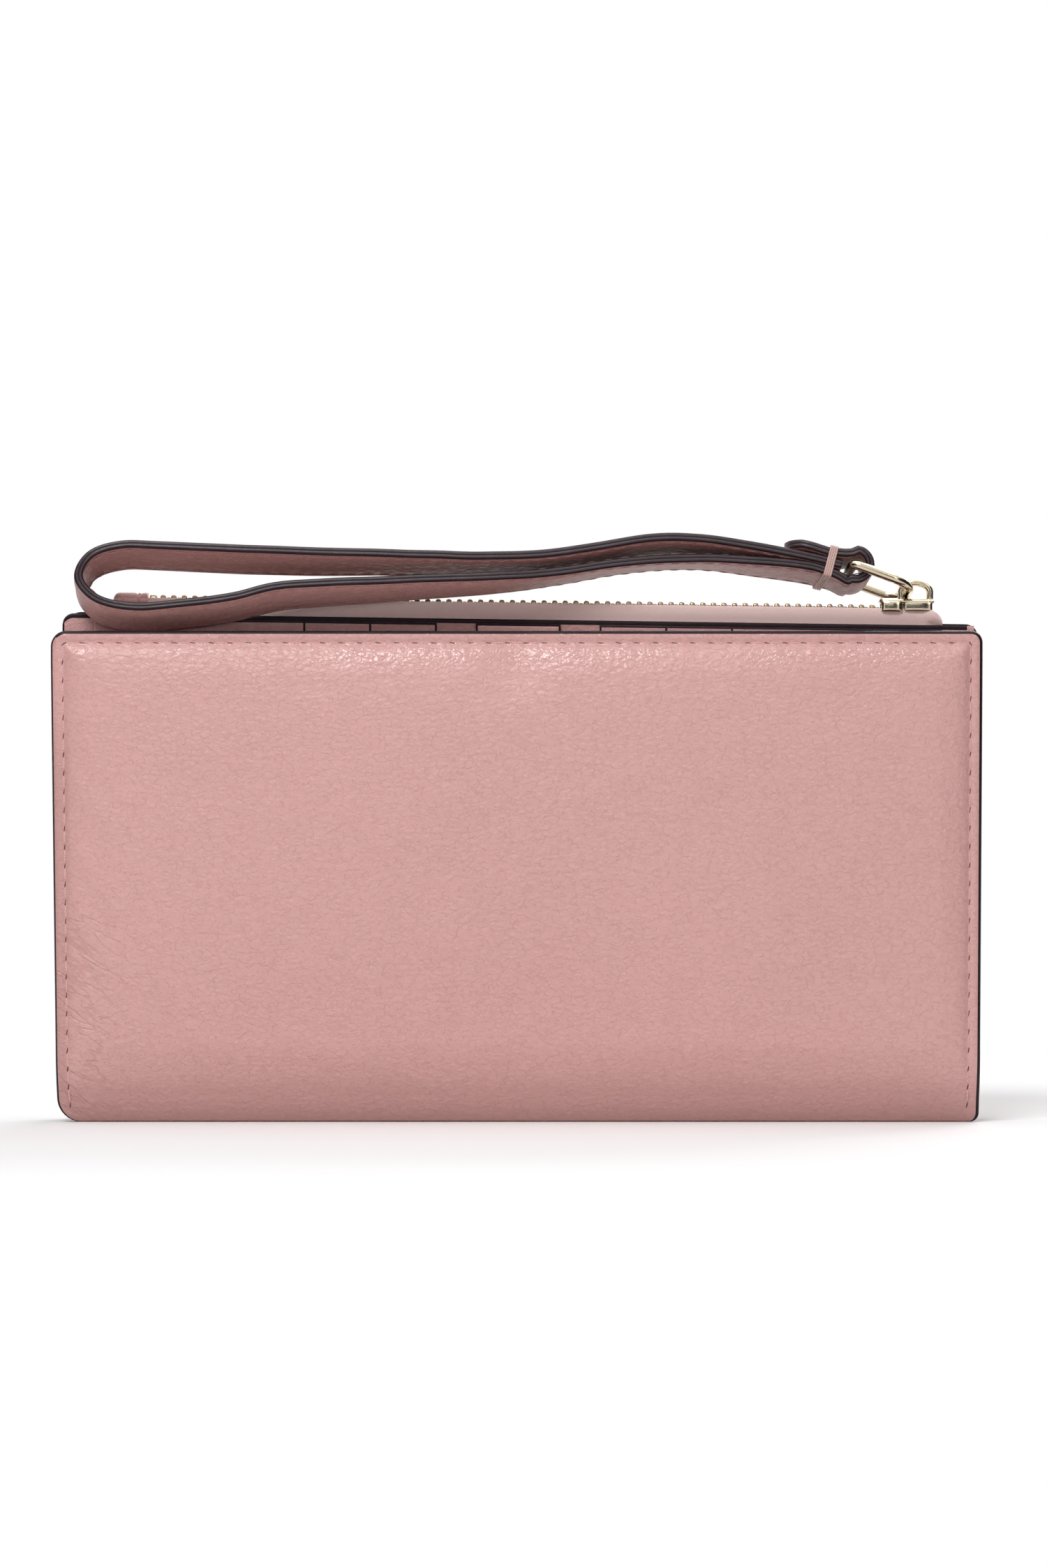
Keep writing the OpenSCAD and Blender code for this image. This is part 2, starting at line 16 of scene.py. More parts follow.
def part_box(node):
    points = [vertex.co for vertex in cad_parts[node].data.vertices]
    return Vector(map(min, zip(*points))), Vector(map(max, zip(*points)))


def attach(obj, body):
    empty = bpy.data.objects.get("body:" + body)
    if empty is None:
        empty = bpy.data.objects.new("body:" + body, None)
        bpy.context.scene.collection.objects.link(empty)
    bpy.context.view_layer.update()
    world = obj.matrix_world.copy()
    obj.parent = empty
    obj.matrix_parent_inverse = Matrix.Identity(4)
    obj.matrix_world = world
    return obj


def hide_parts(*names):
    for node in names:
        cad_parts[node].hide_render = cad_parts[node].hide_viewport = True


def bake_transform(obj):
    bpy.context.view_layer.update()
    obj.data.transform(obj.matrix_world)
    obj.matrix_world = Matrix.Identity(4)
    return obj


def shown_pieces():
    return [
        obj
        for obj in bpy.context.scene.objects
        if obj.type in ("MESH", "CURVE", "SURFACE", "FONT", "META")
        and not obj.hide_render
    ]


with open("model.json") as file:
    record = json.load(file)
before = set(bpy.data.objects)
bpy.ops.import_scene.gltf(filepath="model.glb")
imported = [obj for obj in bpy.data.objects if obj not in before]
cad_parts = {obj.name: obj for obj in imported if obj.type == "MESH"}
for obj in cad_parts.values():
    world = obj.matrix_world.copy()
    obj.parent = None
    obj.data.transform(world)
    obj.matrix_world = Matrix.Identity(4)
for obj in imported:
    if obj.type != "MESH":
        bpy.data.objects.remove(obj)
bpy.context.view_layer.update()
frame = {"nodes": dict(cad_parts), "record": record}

MM = 0.001

# %% [markdown]
# The camera comes first, because it decides what has to be right. The photograph is a level product
# shot: the two long edges of the near cover stay parallel, and the far cover is only a little smaller
# than the near one, so the camera stands more than a metre away and looks straight along +Y.

# %% Camera
PHOTO_H = 2247
PIXELS_PER_MM = 6.97
BASE_ROW = 1610
VIEW_DISTANCE = 1.1
SIDE_STEP = 0.0011
SENSOR = 24.0
near_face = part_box("near_cover")[0][1]
view_height = PHOTO_H / PIXELS_PER_MM * MM
camera_data = bpy.data.cameras.new("photo_camera")
camera_data.sensor_fit = "VERTICAL"
camera_data.sensor_height = SENSOR
camera_data.lens = SENSOR * VIEW_DISTANCE / view_height
camera = bpy.data.objects.new("photo_camera", camera_data)
bpy.context.scene.collection.objects.link(camera)
eye_height = (BASE_ROW - PHOTO_H / 2) / PIXELS_PER_MM * MM
camera.location = (SIDE_STEP, near_face - VIEW_DISTANCE, eye_height)
camera.rotation_euler = (math.pi / 2, 0, 0)
bpy.context.scene.camera = camera
print("camera height", round(eye_height, 4), "lens", round(camera_data.lens, 1))

# %% [markdown]
# Shader maths reads best as plain arithmetic. A Wire wraps one output socket, and adding or
# multiplying wires adds Math nodes. A Board holds the nodes of a material or a world, and its node
# method makes any other node: its type, its settings, then the values or wires of its sockets. A Bench
# is the board of one material.

# %% Wires and benches
def linear(colour, factor=1.0):
    """A screen colour from 0 to 255, as the linear colour that shaders use, times a factor or three."""
    c = np.array(colour) / 255
    c = np.where(c <= 0.04045, c / 12.92, ((c + 0.055) / 1.055) ** 2.4) * factor
    return tuple(float(channel) for channel in np.minimum(1.0, c)) + (1.0,)


class Wire:
    """One output socket. Arithmetic on it adds Math nodes to its board."""

    def __init__(self, board, socket):
        self.board = board
        self.socket = socket

    def __add__(self, other):
        return self.board.math("ADD", self, other)

    def __sub__(self, other):
        return self.board.math("SUBTRACT", self, other)

    def __rsub__(self, other):
        return self.board.math("SUBTRACT", other, self)

    def __mul__(self, other):
        return self.board.math("MULTIPLY", self, other)

    __radd__ = __add__
    __rmul__ = __mul__


class Board:
    """The nodes of one material or world."""

    def __init__(self, tree):
        self.tree = tree

    def feed(self, socket, value):
        if isinstance(value, Wire):
            self.tree.links.new(value.socket, socket)
        else:
            socket.default_value = value

    def node(self, kind, settings, sockets, output=0):
        made = self.tree.nodes.new(kind)
        for key, value in settings.items():
            setattr(made, key, value)
        for key, value in sockets.items():
            self.feed(made.inputs[key], value)
        return Wire(self, made.outputs[output])

    def math(self, operation, a, b=0.0, c=0.0):
        return self.node("ShaderNodeMath", {"operation": operation}, {0: a, 1: b, 2: c})

    def mix(self, factor, a, b):
        return self.node("ShaderNodeMix", {"data_type": "RGBA"}, {0: factor, 6: a, 7: b}, output=2)

    def ramp(self, value, low, high):
        """Zero below low, one above high, smooth between."""
        settings = {"interpolation_type": "SMOOTHSTEP"}
        return self.node("ShaderNodeMapRange", settings, {"Value": value, "From Min": low, "From Max": high})

    def seen_directly(self):
        """One for rays from the camera, off a glossy surface or through glass."""
        rays = [self.node("ShaderNodeLightPath", {}, {}, output=ray)
                for ray in ("Is Camera Ray", "Is Glossy Ray", "Is Transmission Ray")]
        return self.math("MINIMUM", rays[0] + rays[1] + rays[2], 1.0)


class Bench(Board):
    """One material, and the patterns that make its look. A pattern lies on place unless given a vector."""

    def __init__(self, name, bends=True, **constants):
        self.material = bpy.data.materials.new(name)
        self.material.use_nodes = True
        super().__init__(self.material.node_tree)
        self.bends = bends
        self.shader = self.tree.nodes["Principled BSDF"]
        for socket, value in constants.items():
            self.shader.inputs[socket.replace("_", " ")].default_value = value

    @functools.cached_property
    def place(self):
        """Where a point lies at rest: kept in the mesh for pieces that bend, or the object's own frame."""
        if self.bends:
            return self.node("ShaderNodeAttribute", {"attribute_name": "place"}, {}, output="Vector")
        return self.node("ShaderNodeTexCoord", {}, {}, output="Object")

    def axis(self, name):
        return self.node("ShaderNodeSeparateXYZ", {}, {0: self.place}, output=name)

    def stretch(self, factors, vector=None):
        settings = {"operation": "MULTIPLY"}
        return self.node("ShaderNodeVectorMath", settings, {0: vector or self.place, 1: factors})

    def nudged(self, vector, scale, reach):
        """A vector moved about by noise, so that a pattern on it bends."""
        shove = self.node("ShaderNodeTexNoise", {}, {"Vector": self.place, "Scale": scale}, output="Color")
        settings = {"operation": "MULTIPLY_ADD"}
        return self.node("ShaderNodeVectorMath", settings, {0: shove, 1: (reach, reach, reach), 2: vector})

    def cloud(self, scale, detail=2.0, vector=None):
        """Soft noise around a half."""
        sockets = {"Vector": vector or self.place, "Scale": scale, "Detail": detail}
        return self.node("ShaderNodeTexNoise", {}, sockets)

    def patches(self, scale, low, high):
        return self.ramp(self.cloud(scale), low, high)

    def cells(self, vector, scale, smoothness):
        """The distance to the middle of the nearest cell, with soft borders."""
        sockets = {"Vector": vector, "Scale": scale, "Smoothness": smoothness}
        return self.node("ShaderNodeTexVoronoi", {"feature": "SMOOTH_F1"}, sockets)

    def furrows(self, vector, scale, width):
        """Winding lines where soft noise passes a half: one on the line, zero a width of noise away."""
        away = self.math("ABSOLUTE", self.cloud(scale, vector=vector) - 0.5)
        return 1 - self.ramp(away, 0.0, width)

    def tint(self, factor, deep, colour):
        return self.mix(factor, linear(deep), linear(colour))

    def finish(self, colour, roughness, height=None, depth=0.0):
        self.feed(self.shader.inputs["Base Color"], colour)
        self.feed(self.shader.inputs["Roughness"], roughness)
        if height is not None:
            bump = self.node("ShaderNodeBump", {}, {"Height": height, "Distance": depth, "Strength": 1.0})
            self.feed(self.shader.inputs["Normal"], bump)
        return self.material


print("shader helpers ready")

# %% [markdown]
# The leather is a soft, drum-dyed hide with a fine pebble grain. The pebbles are small cells with
# valleys between them, in two sizes and bent by noise, so that the pattern doesn't look printed. Over
# them lies a broken net of hair-fine creases, and slanting folds mark the slack lower left corner. Low
# places are a little darker, the tops glossier, and the folds are darker in colour as painted shade.
# The foot and the left border are darkened in colour as painted shade, where the hide rolls under and
# turns away from the light. Handling has polished the hide under the top edge.

# %% Pebbled leather
SLACK_X, SLACK_Z = (-0.0915, -0.073), (0.036, 0.056)
BORDER_X, BORDER_Z = (-0.0935, -0.0918), (0.07, 0.09)
FOOT_Z, TOP_Z = (0.001, 0.0105), (0.0915, 0.0965)


def pebbled_leather(name, colour, deep, grain_mm, depth, rub=0.0):
    """rub is how much handling has polished the hide under its top edge, zero where hands don't reach. A
    nonzero rub also brings the painted shade on the left border.
    """
    bench = Bench(name, Specular_IOR_Level=0.5, Sheen_Weight=0.04)
    x, z = bench.axis("X"), bench.axis("Z")
    bent = bench.nudged(bench.place, 420.0, 0.0005)
    long_cells = bench.stretch((0.72, 1.0, 1.15), bent)
    pebble = bench.ramp(0.72 - bench.cells(long_cells, 1000.0 / grain_mm, 0.25), 0.0, 0.6)
    fine = bench.ramp(0.7 - bench.cells(bent, 1900.0 / grain_mm, 0.3), 0.0, 0.6)
    crease = 1 - bench.furrows(bench.stretch((0.6, 1.0, 1.2)), 420.0, 0.11)
    drift = bench.patches(240.0, 0.2, 0.8)
    net = bench.node("ShaderNodeTexVoronoi", {"feature": "DISTANCE_TO_EDGE"},
                     {"Vector": bench.nudged(long_cells, 700.0, 0.0016), "Scale": 640.0 / grain_mm})
    curls = bench.furrows(bench.stretch((0.7, 1.0, 1.3)), 520.0, 0.03)
    netted = bench.patches(420.0, 0.44, 0.62)
    line = (1 - bench.ramp(net, 0.0, 0.09)) * netted * 0.7 + curls * (1 - netted) * 0.7
    slant = bench.node("ShaderNodeCombineXYZ", {},
                       {"X": (x * 0.87 - z * 0.5) * 85.0, "Y": (x * 0.5 + z * 0.87) * 300.0})
    slack = (1 - bench.ramp(x, *SLACK_X)) * (1 - bench.ramp(z, *SLACK_Z))
    fold = bench.furrows(slant, 1.0, 0.045) * slack
    height = pebble * (0.3 + bench.cloud(130.0) * 0.6) + fine * 0.28 + crease * 0.12
    height = height + bench.cloud(2600.0) * 0.1 - line * 0.55 - fold * 0.9
    # the folds are darker in colour too: painted shade in their creases
    tone = pebble * 0.14 + fine * 0.2 + crease * 0.1 + drift * 0.14 + 0.44 - line * 0.6 - fold * 0.5
    blush = bench.patches(22.0, 0.35, 0.65)
    skin = bench.mix(blush * 0.10, bench.tint(tone, deep, colour), linear(colour, 1.12))
    # painted shade: the foot is darker in colour where the hide rolls under, away from the light
    painted_shade = (1 - bench.ramp(z, *FOOT_Z)) * 0.62
    roughness = 0.42 - pebble * 0.10 + bench.cloud(900.0) * 0.08
    if rub:
        # painted shade: the left border is darker in colour where the hide turns away from the light
        border = (1 - bench.ramp(x, *BORDER_X)) * (1 - bench.ramp(z, *BORDER_Z)) * 0.4
        painted_shade = bench.math("MAXIMUM", painted_shade, border)
        roughness = roughness - bench.ramp(z, *TOP_Z) * bench.patches(60.0, 0.35, 0.6) * rub
    skin = bench.mix(painted_shade, skin, linear(deep, 0.74))
    return bench.finish(skin, roughness, height, depth)


cover_leather = pebbled_leather("cover_leather", (214, 166, 161), (196, 147, 142), 1.15, 0.00011, rub=0.24)
pocket_leather = pebbled_leather("pocket_leather", (212, 166, 162), (190, 142, 138), 0.9, 0.00006)
strap_leather = pebbled_leather("strap_leather", (188, 140, 135), (160, 111, 106), 1.2, 0.0001)
# the inner ply is a darker hide, and its darker colour is also painted shade for the inside of the loop
shaded_strap_back = pebbled_leather("strap_back_leather", (162, 116, 111), (136, 91, 87), 1.2, 0.0001)
print("leathers", [hide.name for hide in (cover_leather, pocket_leather, strap_leather, shaded_strap_back)])

# %% [markdown]
# Every cut edge is sealed with several coats of dark aubergine paint. It dries almost dull, with a
# slightly lumpy skin, and is greyer in patches where it is rubbed. A lighter, glossier copy of the paint
# on the crowns of the strap's edges is a painted highlight. The threads are waxed polyester: their twist
# is a fine stripe across the thread.

# %% Edge paint and threads
def edge_paint(name, colour, polish=0.12):
    bench = Bench(name, Specular_IOR_Level=polish, Coat_Weight=0.05, Coat_Roughness=0.08)
    lumps = bench.cloud(900.0)
    wear = bench.ramp(bench.cloud(260.0, 4.0), 0.45, 0.75)
    coat = bench.mix(wear, linear(colour), linear(colour, 1.45))
    return bench.finish(coat, 0.34 + lumps * 0.22, lumps, 0.00012)


def thread(name, colour, deep):
    bench = Bench(name, Specular_IOR_Level=0.3, Sheen_Weight=0.25)
    slant = (bench.axis("X") + bench.axis("Y") + bench.axis("Z") * 1.3) * 9000.0
    twist = bench.math("SINE", slant) * 0.5 + 0.5
    fuzz = bench.cloud(4000.0)
    return bench.finish(bench.tint(twist * 0.7 + fuzz * 0.3, deep, colour), 0.6 + fuzz * 0.2, twist, 0.00008)


dark_edge = edge_paint("dark_edge_paint", (36, 23, 29))
# painted highlight: lighter, glossier edge paint for the crowns of the strap's edges
edge_highlight = edge_paint("rubbed_edge_paint", (50, 37, 42), 0.5)
# painted shadow: the dark slits in the stitch holes
hole_shadow = edge_paint("stitch_hole", (84, 44, 43))
pink_thread = thread("pink_thread", (236, 190, 187), (202, 148, 146))
strap_thread = thread("strap_thread", (186, 137, 132), (152, 106, 102))
binding_thread = thread("binding_thread", (232, 200, 192), (198, 158, 150))
print("threads and paint ready")

# %% [markdown]
# Inside there are two cloths: a plain-woven lining, and the zip tape, whose herringbone shows as slanted
# ribs that change direction every millimetre or so. Both are worked out from the position alone.

# %% Cloths and board
def woven_lining(name, colour, deep):
    bench = Bench(name, Sheen_Weight=0.2)
    warp = bench.math("SINE", bench.axis("X") * 11000.0)
    weft = bench.math("SINE", bench.axis("Z") * 11000.0)
    weave = warp * weft * 0.5 + 0.5
    slub = bench.cloud(160.0, 3.0, bench.stretch((1.0, 1.0, 12.0)))
    return bench.finish(bench.tint(weave * 0.6 + slub * 0.4, deep, colour), 0.75 + slub * 0.1, weave, 0.00005)


def herringbone_tape(name, colour, deep):
    bench = Bench(name, Sheen_Weight=0.25)
    band = bench.math("PINGPONG", bench.axis("Z"), 0.0009)
    ribs = bench.math("SINE", (bench.axis("X") + band * 1.2) * 11500.0) * 0.5 + 0.5
    yarn = bench.cloud(3500.0)
    tone = bench.ramp(ribs, 0.1, 0.8) * 0.8 + yarn * 0.2
    return bench.finish(bench.tint(tone, deep, colour), 0.7 + yarn * 0.15, ribs * 0.8 + yarn * 0.2, 0.00003)


def pressed_board(name, colour, deep):
    bench = Bench(name, bends=False)
    fibre = bench.cloud(700.0, 4.0, bench.stretch((1.0, 1.0, 3.0)))
    return bench.finish(bench.tint(fibre, deep, colour), 0.85 + fibre * 0.1, fibre, 0.0001)


lining_cloth = woven_lining("lining_cloth", (205, 170, 164), (172, 134, 128))
zip_cloth = herringbone_tape("zip_cloth", (246, 217, 212), (236, 205, 200))
board_stock = pressed_board("board_stock", (160, 150, 144), (120, 112, 108))
print("cloths ready")

# %% [markdown]
# The metal is plated pale gold, polished, with the faint cloudiness of small plated parts. A polished
# surface needs a colour and a low roughness; fine scratches vary the roughness a little.

# %% Pale gold
def plated_gold(name, colour, rough):
    bench = Bench(name, bends=False, Metallic=1.0)
    haze = bench.cloud(1500.0, 3.0)
    scratch = bench.cloud(900.0, vector=bench.stretch((1.0, 14.0, 5.0)))
    plating = bench.mix(haze, linear(colour), linear(colour, (0.93, 0.90, 0.84)))
    return bench.finish(plating, rough + haze * 0.08 + scratch * 0.06, scratch, 0.000006)


gold = plated_gold("pale_gold", (214, 202, 180), 0.08)
# the teeth's gold is darker than the other gold: painted dark reflection
dark_reflection_tooth_gold = plated_gold("dark_reflection_tooth_gold", (168, 148, 124), 0.22)
print("metals ready")

# %% [markdown]
# Most pieces here are soft sheets: a front face, a back face and a rim. One helper turns arrays of
# points into a mesh and keeps each point's resting place, so grain and weave stay put when leather
# bends. Others close two grids into a sheet, skin a row of rings as a tube, and settle a piece on the
# body that carries it. Lengths are in mm until the mesh is made.

# %% Mesh helpers
EDGE_STEPS = (0, 0.2, 0.42, 0.66, 0.95, 1.3, 1.7, 2.1, 2.5, 2.9, 3.3, 3.8, 4.5, 5.4, 6.4)


def add_mesh(name, points, faces, materials, marks=None):
    mesh = bpy.data.meshes.new(name)
    points = np.asarray(points) * MM
    mesh.from_pydata([tuple(p) for p in points], [], [tuple(f) for f in faces])
    for material in materials:
        mesh.materials.append(material)
    if marks is not None:
        mesh.polygons.foreach_set("material_index", np.asarray(marks, np.int32))
    mesh.polygons.foreach_set("use_smooth", np.ones(len(faces), bool))
    kept = mesh.attributes.new("place", "FLOAT_VECTOR", "POINT")
    kept.data.foreach_set("vector", np.asarray(points, np.float32).ravel())
    mesh.update()
    piece = bpy.data.objects.new(name, mesh)
    bpy.context.scene.collection.objects.link(piece)
    return piece


def sheet_mesh(name, front, back, materials, marks=None, rim_mark=0):
    """A closed sheet from two grids of points. The front grid is wound to face away from the back."""
    rows, cols = front.shape[:2]
    count = rows * cols
    index = np.arange(count).reshape(rows, cols)
    quads = np.stack([index[:-1, :-1], index[:-1, 1:], index[1:, 1:], index[1:, :-1]], -1).reshape(-1, 4)
    rim = np.concatenate([index[0, :], index[1:, -1], index[-1, -2::-1], index[-2:0:-1, 0]])
    after = np.roll(rim, -1)
    sides = np.stack([after, rim, rim + count, after + count], -1)
    faces = np.concatenate([quads, quads[:, ::-1] + count, sides])
    p = np.concatenate([front.reshape(-1, 3), back.reshape(-1, 3)])
    mid = quads[len(quads) // 2]
    facing = np.cross(p[mid[1]] - p[mid[0]], p[mid[3]] - p[mid[0]])
    if np.dot(facing, p[mid[0]] - p[mid[0] + count]) < 0:
        faces = faces[:, ::-1]
    face_marks = np.zeros(len(quads), int) if marks is None else marks.ravel()
    face_marks = np.concatenate([face_marks, face_marks, np.full(len(sides), rim_mark)])
    return add_mesh(name, p, faces, materials, face_marks)


def tube_faces(count, sides, base=0, closed=False):
    """Faces round rings of points that start at number base. An open tube gets a cap at each end."""
    faces = []
    for k in range(count if closed else count - 1):
        here, there = base + k * sides, base + (k + 1) % count * sides
        for s in range(sides):
            t = (s + 1) % sides
            faces.append((here + s, here + t, there + t, there + s))
    if not closed:
        last = base + (count - 1) * sides
        faces.append(tuple(range(base, base + sides))[::-1])
        faces.append(tuple(range(last, last + sides)))
    return faces


def settle(piece, body, slot, *nodes):
    """Lets a piece ride on a body and hides the solids that it stands in for. slot is not used."""
    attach(piece, body)
    if nodes:
        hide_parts(*nodes)
    return piece


def box_mm(node):
    return [[v / MM for v in corner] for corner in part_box(node)]


def spaced(length, step, high=True):
    """Distances along a panel, close together near its start and, if high, near its end."""
    start = list(EDGE_STEPS)
    stop = [length - d for d in EDGE_STEPS[::-1]] if high else [length]
    count = max(1, round((stop[0] - start[-1]) / step))
    between = [start[-1] + (stop[0] - start[-1]) * k / count for k in range(1, count)]
    return np.array(start + between + stop)


def bunched(count):
    """Shares from -1 to 1, close together at both ends."""
    return np.sin(np.linspace(-math.pi / 2, math.pi / 2, count))


def unit(vectors):
    return vectors / np.linalg.norm(vectors, axis=-1, keepdims=True)


def clamp(value):
    return np.clip(value, 0, 1)


def round_over(distance, reach):
    """The fall of a quarter circle: one at an edge, zero from the reach on."""
    share = clamp(1 - distance / reach)
    return 1 - np.sqrt(1 - share * share)


def grid_marks(distance, width):
    """One for each face of a grid whose four corners all lie within a width of the edge."""
    near = distance < width + 1e-6
    return (near[:-1, :-1] & near[1:, :-1] & near[:-1, 1:] & near[1:, 1:]).astype(int)


print("edge steps", len(EDGE_STEPS))

# %% [markdown]
# The two covers and the spine are one hide that rolls under the wallet. Each half gets a skin that
# starts under the middle of the spine, goes round the roll and rises to the painted top edge. The hide
# is padded: it is pinched at the row of stitches and swells inside it. Offsets in mm are worked out
# from the distance to the edge, so corners come out right by themselves.

# %% Shape of a cover
COVER_W = 190.0
HALF_W = COVER_W / 2
HALF_D = 10.0
ROLL = 6.0
HIDE = 1.2
STITCH_IN = 2.5
STITCH_PITCH = 3.8
CORNER_LEFT, CORNER_RIGHT = 3.2, 2.4
FULL_LEAN = 95
SLOPE_ANGLE = math.radians(0.8)
SLOPE = math.tan(SLOPE_ANGLE)


class Cover:
    """Outline of one cover in mm: side is -1 for the near one and 1 for the far one."""

    def __init__(self, side, half, top, slope, leans, foot_rounds):
        self.side, self.half, self.top, self.slope = side, half, top, slope
        self.lean_left, self.lean_right = leans
        self.round_left, self.round_right = foot_rounds

    def outline(self, c, b):
        """x and z on the standing part, from the distance along the cover and down from its top."""
        c, b = np.broadcast_arrays(np.asarray(c, float), np.asarray(b, float))
        shifted = c.copy()
        down = b.copy()
        for mirrored, radius in ((False, CORNER_LEFT), (True, CORNER_RIGHT)):
            a = COVER_W - c if mirrored else c
            u, v = radius - a, radius - b
            corner = (u > 0) & (v > 0)
            big = np.where(corner, np.maximum(u, v), 1.0)
            eighths = np.where(u >= v, v / np.where(u == 0, 1, u), 2 - u / np.where(v == 0, 1, v))
            turn = eighths * math.pi / 4
            new_a = radius - big * np.cos(turn)
            shifted = np.where(corner, COVER_W - new_a if mirrored else new_a, shifted)
            down = np.where(corner, radius - big * np.sin(turn), down)
        x = shifted - HALF_W
        z = self.top - self.slope * x - down
        return self.lean(x, z), z

    def lean(self, x, z):
        """Pulls the sides of the outline out towards the top, and in at the rounded foot."""
        high = clamp(z / FULL_LEAN)
        left = -HALF_W - self.lean_left * high + self.round_left * round_over(z, self.round_left)
        right = HALF_W + self.lean_right * high - self.round_right * round_over(z, self.round_right)
        share = (x + HALF_W) / COVER_W
        return x + (left + HALF_W) * (1 - share) + (right - HALF_W) * share


near = Cover(-1, "near_half", 101.3, 0.0, leans=(1.2, 0.6), foot_rounds=(5.0, 1.8))
far = Cover(1, "far_half", 104.5, SLOPE, leans=(-0.6, 0.9), foot_rounds=(4.0, 3.0))
print("near top", near.top, "far top", far.top)

# %% [markdown]
# The row of stitches runs up one side, along the top and down the other side. Walking along it at even
# steps gives the holes. The pad sinks at every hole and puffs up between them.

# %% Walk the stitch line
FOOT_OF_STITCHES = 5.6


def stitch_line(cover):
    """Points in x and z along the stitch line, a stitch apart."""
    rise = np.arange(cover.top - FOOT_OF_STITCHES + 2, STITCH_IN, -0.25)
    run = np.arange(STITCH_IN, COVER_W - STITCH_IN, 0.25)
    c = np.concatenate([np.full(len(rise), STITCH_IN), run, np.full(len(rise), COVER_W - STITCH_IN)])
    b = np.concatenate([rise, np.full(len(run), STITCH_IN), rise[::-1]])
    line = np.stack(cover.outline(c, b), -1)
    travelled = np.concatenate([[0], np.cumsum(np.linalg.norm(np.diff(line, axis=0), axis=1))])
    count = round(travelled[-1] / STITCH_PITCH)
    stations = np.linspace(0, travelled[-1], count + 1)
    return np.stack([np.interp(stations, travelled, line[:, k]) for k in range(2)], -1)


near_holes = stitch_line(near)
far_holes = stitch_line(far)


def hole_depth(x, z, holes, reach):
    """One at a stitch hole, falling away over the reach in mm."""
    flat = np.stack([x.ravel(), z.ravel()], -1)
    least = np.full(len(flat), 1e9)
    for hole in holes:
        least = np.minimum(least, ((flat - hole) ** 2).sum(1))
    return np.exp(-least / reach ** 2).reshape(x.shape)


def clouds(x, z, size, seed):
    """Smooth unevenness between about -1 and 1."""
    value = [noise.noise(Vector((a / size, seed, b / size))) for a, b in zip(x.ravel(), z.ravel())]
    return np.array(value).reshape(x.shape)


print("stitches near", len(near_holes) - 1, "far", len(far_holes) - 1)

# %% [markdown]
# The swell of the pad is the sum of a few plain ideas: a steep rise just inside the stitches, broad
# unevenness of a filled wallet, a dimple at the middle of the top edge where the hidden press stud pulls,
# and slack wrinkles that run down and inwards from the stitches near the lower left corner.

# %% Swell of a cover
WRINKLES = ((-93, 34, -62, 0.34, 2.2, 20), (-93, 45, -55, 0.26, 2.4, 24), (-92, 24, -68, 0.30, 2.0, 16),
            (-93, 58, -48, 0.20, 2.6, 26), (93, 30, -118, 0.20, 2.4, 18), (-40, 14, -12, 0.22, 2.6, 34),
            (20, 13, -170, 0.20, 2.6, 30), (-93, 70, -40, 0.14, 2.4, 20))

DIMPLE_DEEP, DIMPLE_WIDE, DIMPLE_BELOW = 1.0, 6.5, 7


def wrinkle(x, z, start_x, start_z, heading, height, width, length):
    """A soft fold that starts at a point and fades along its heading, in degrees."""
    a = math.radians(heading)
    dx, dz = x - start_x, z - start_z
    along = dx * math.cos(a) + dz * math.sin(a)
    beside = -dx * math.sin(a) + dz * math.cos(a) + 0.04 * along * along / length
    fade = clamp(1 - along / length) * (along > -3)
    crest = np.exp(-(beside / width) ** 2)
    trough = np.exp(-((beside - 1.6 * width) / width) ** 2)
    return height * fade * (crest - 0.6 * trough)


def swell(cover, x, z, d, holes):
    """How far the face of the hide stands out from its plane, in mm, at a distance d from the edge."""
    inside = np.clip(d - STITCH_IN, 0, None)
    rise = 1.0 * (1 - np.exp(-inside / 1.9)) + 0.9 * (1 - np.exp(-inside / 8.0))
    dome = clamp(1 - ((z - 52) / 50) ** 2) * clamp(1 - (x / HALF_W) ** 4)
    rise += 2.0 * dome * clamp(inside / 6)
    below = cover.top - cover.slope * x - z
    at_side = clamp((below - d) / 1.5)
    lip = 0.22 * clamp(d / 0.8)
    lip -= clamp(1 - d / STITCH_IN) ** 1.4 * (0.8 * at_side - 0.1 * (1 - at_side))
    pinch = 0.34 * np.exp(-((d - STITCH_IN) / 0.6) ** 2) + 0.14 * hole_depth(x, z, holes, 0.9)
    pull = 0.22 * hole_depth(x, z, holes, 1.9) * clamp(inside / 0.8)
    lumps = 0.28 * clouds(x, z, 34, 1.7 * cover.side) * clamp(inside / 12)
    lumps += 0.10 * clouds(x, z, 9, 4.1 * cover.side) * clamp(inside / 5)
    height = rise + lip - pinch - pull + lumps
    if cover is near:
        across, down = x / DIMPLE_WIDE, (below - DIMPLE_BELOW) / DIMPLE_WIDE
        height -= DIMPLE_DEEP * np.exp(-across ** 2) * np.exp(-down ** 2)
        for fold in WRINKLES:
            height += wrinkle(x, z, *fold) * clamp(inside / 3)
    return height - 0.6 * round_over(d, 0.62)


print("wrinkles", len(WRINKLES))

# %% [markdown]
# Below the standing part the hide is drawn in at its foot and rolls under the wallet along a curve, while
# the inner face follows a plain quarter turn. Its border is painted.

# %% Build the two skins
PAINT_W = 0.8
FOOT_IN, FOOT_FROM, FOOT_SWELL = 2.6, 16, 0.35
THINNEST = 0.75
ROLL_DROP, ROLL_LEAD, ROLL_TOE = 3.9, 1.09, 6.0
ROLL_ROWS, FLAT_ROWS = 10, 4


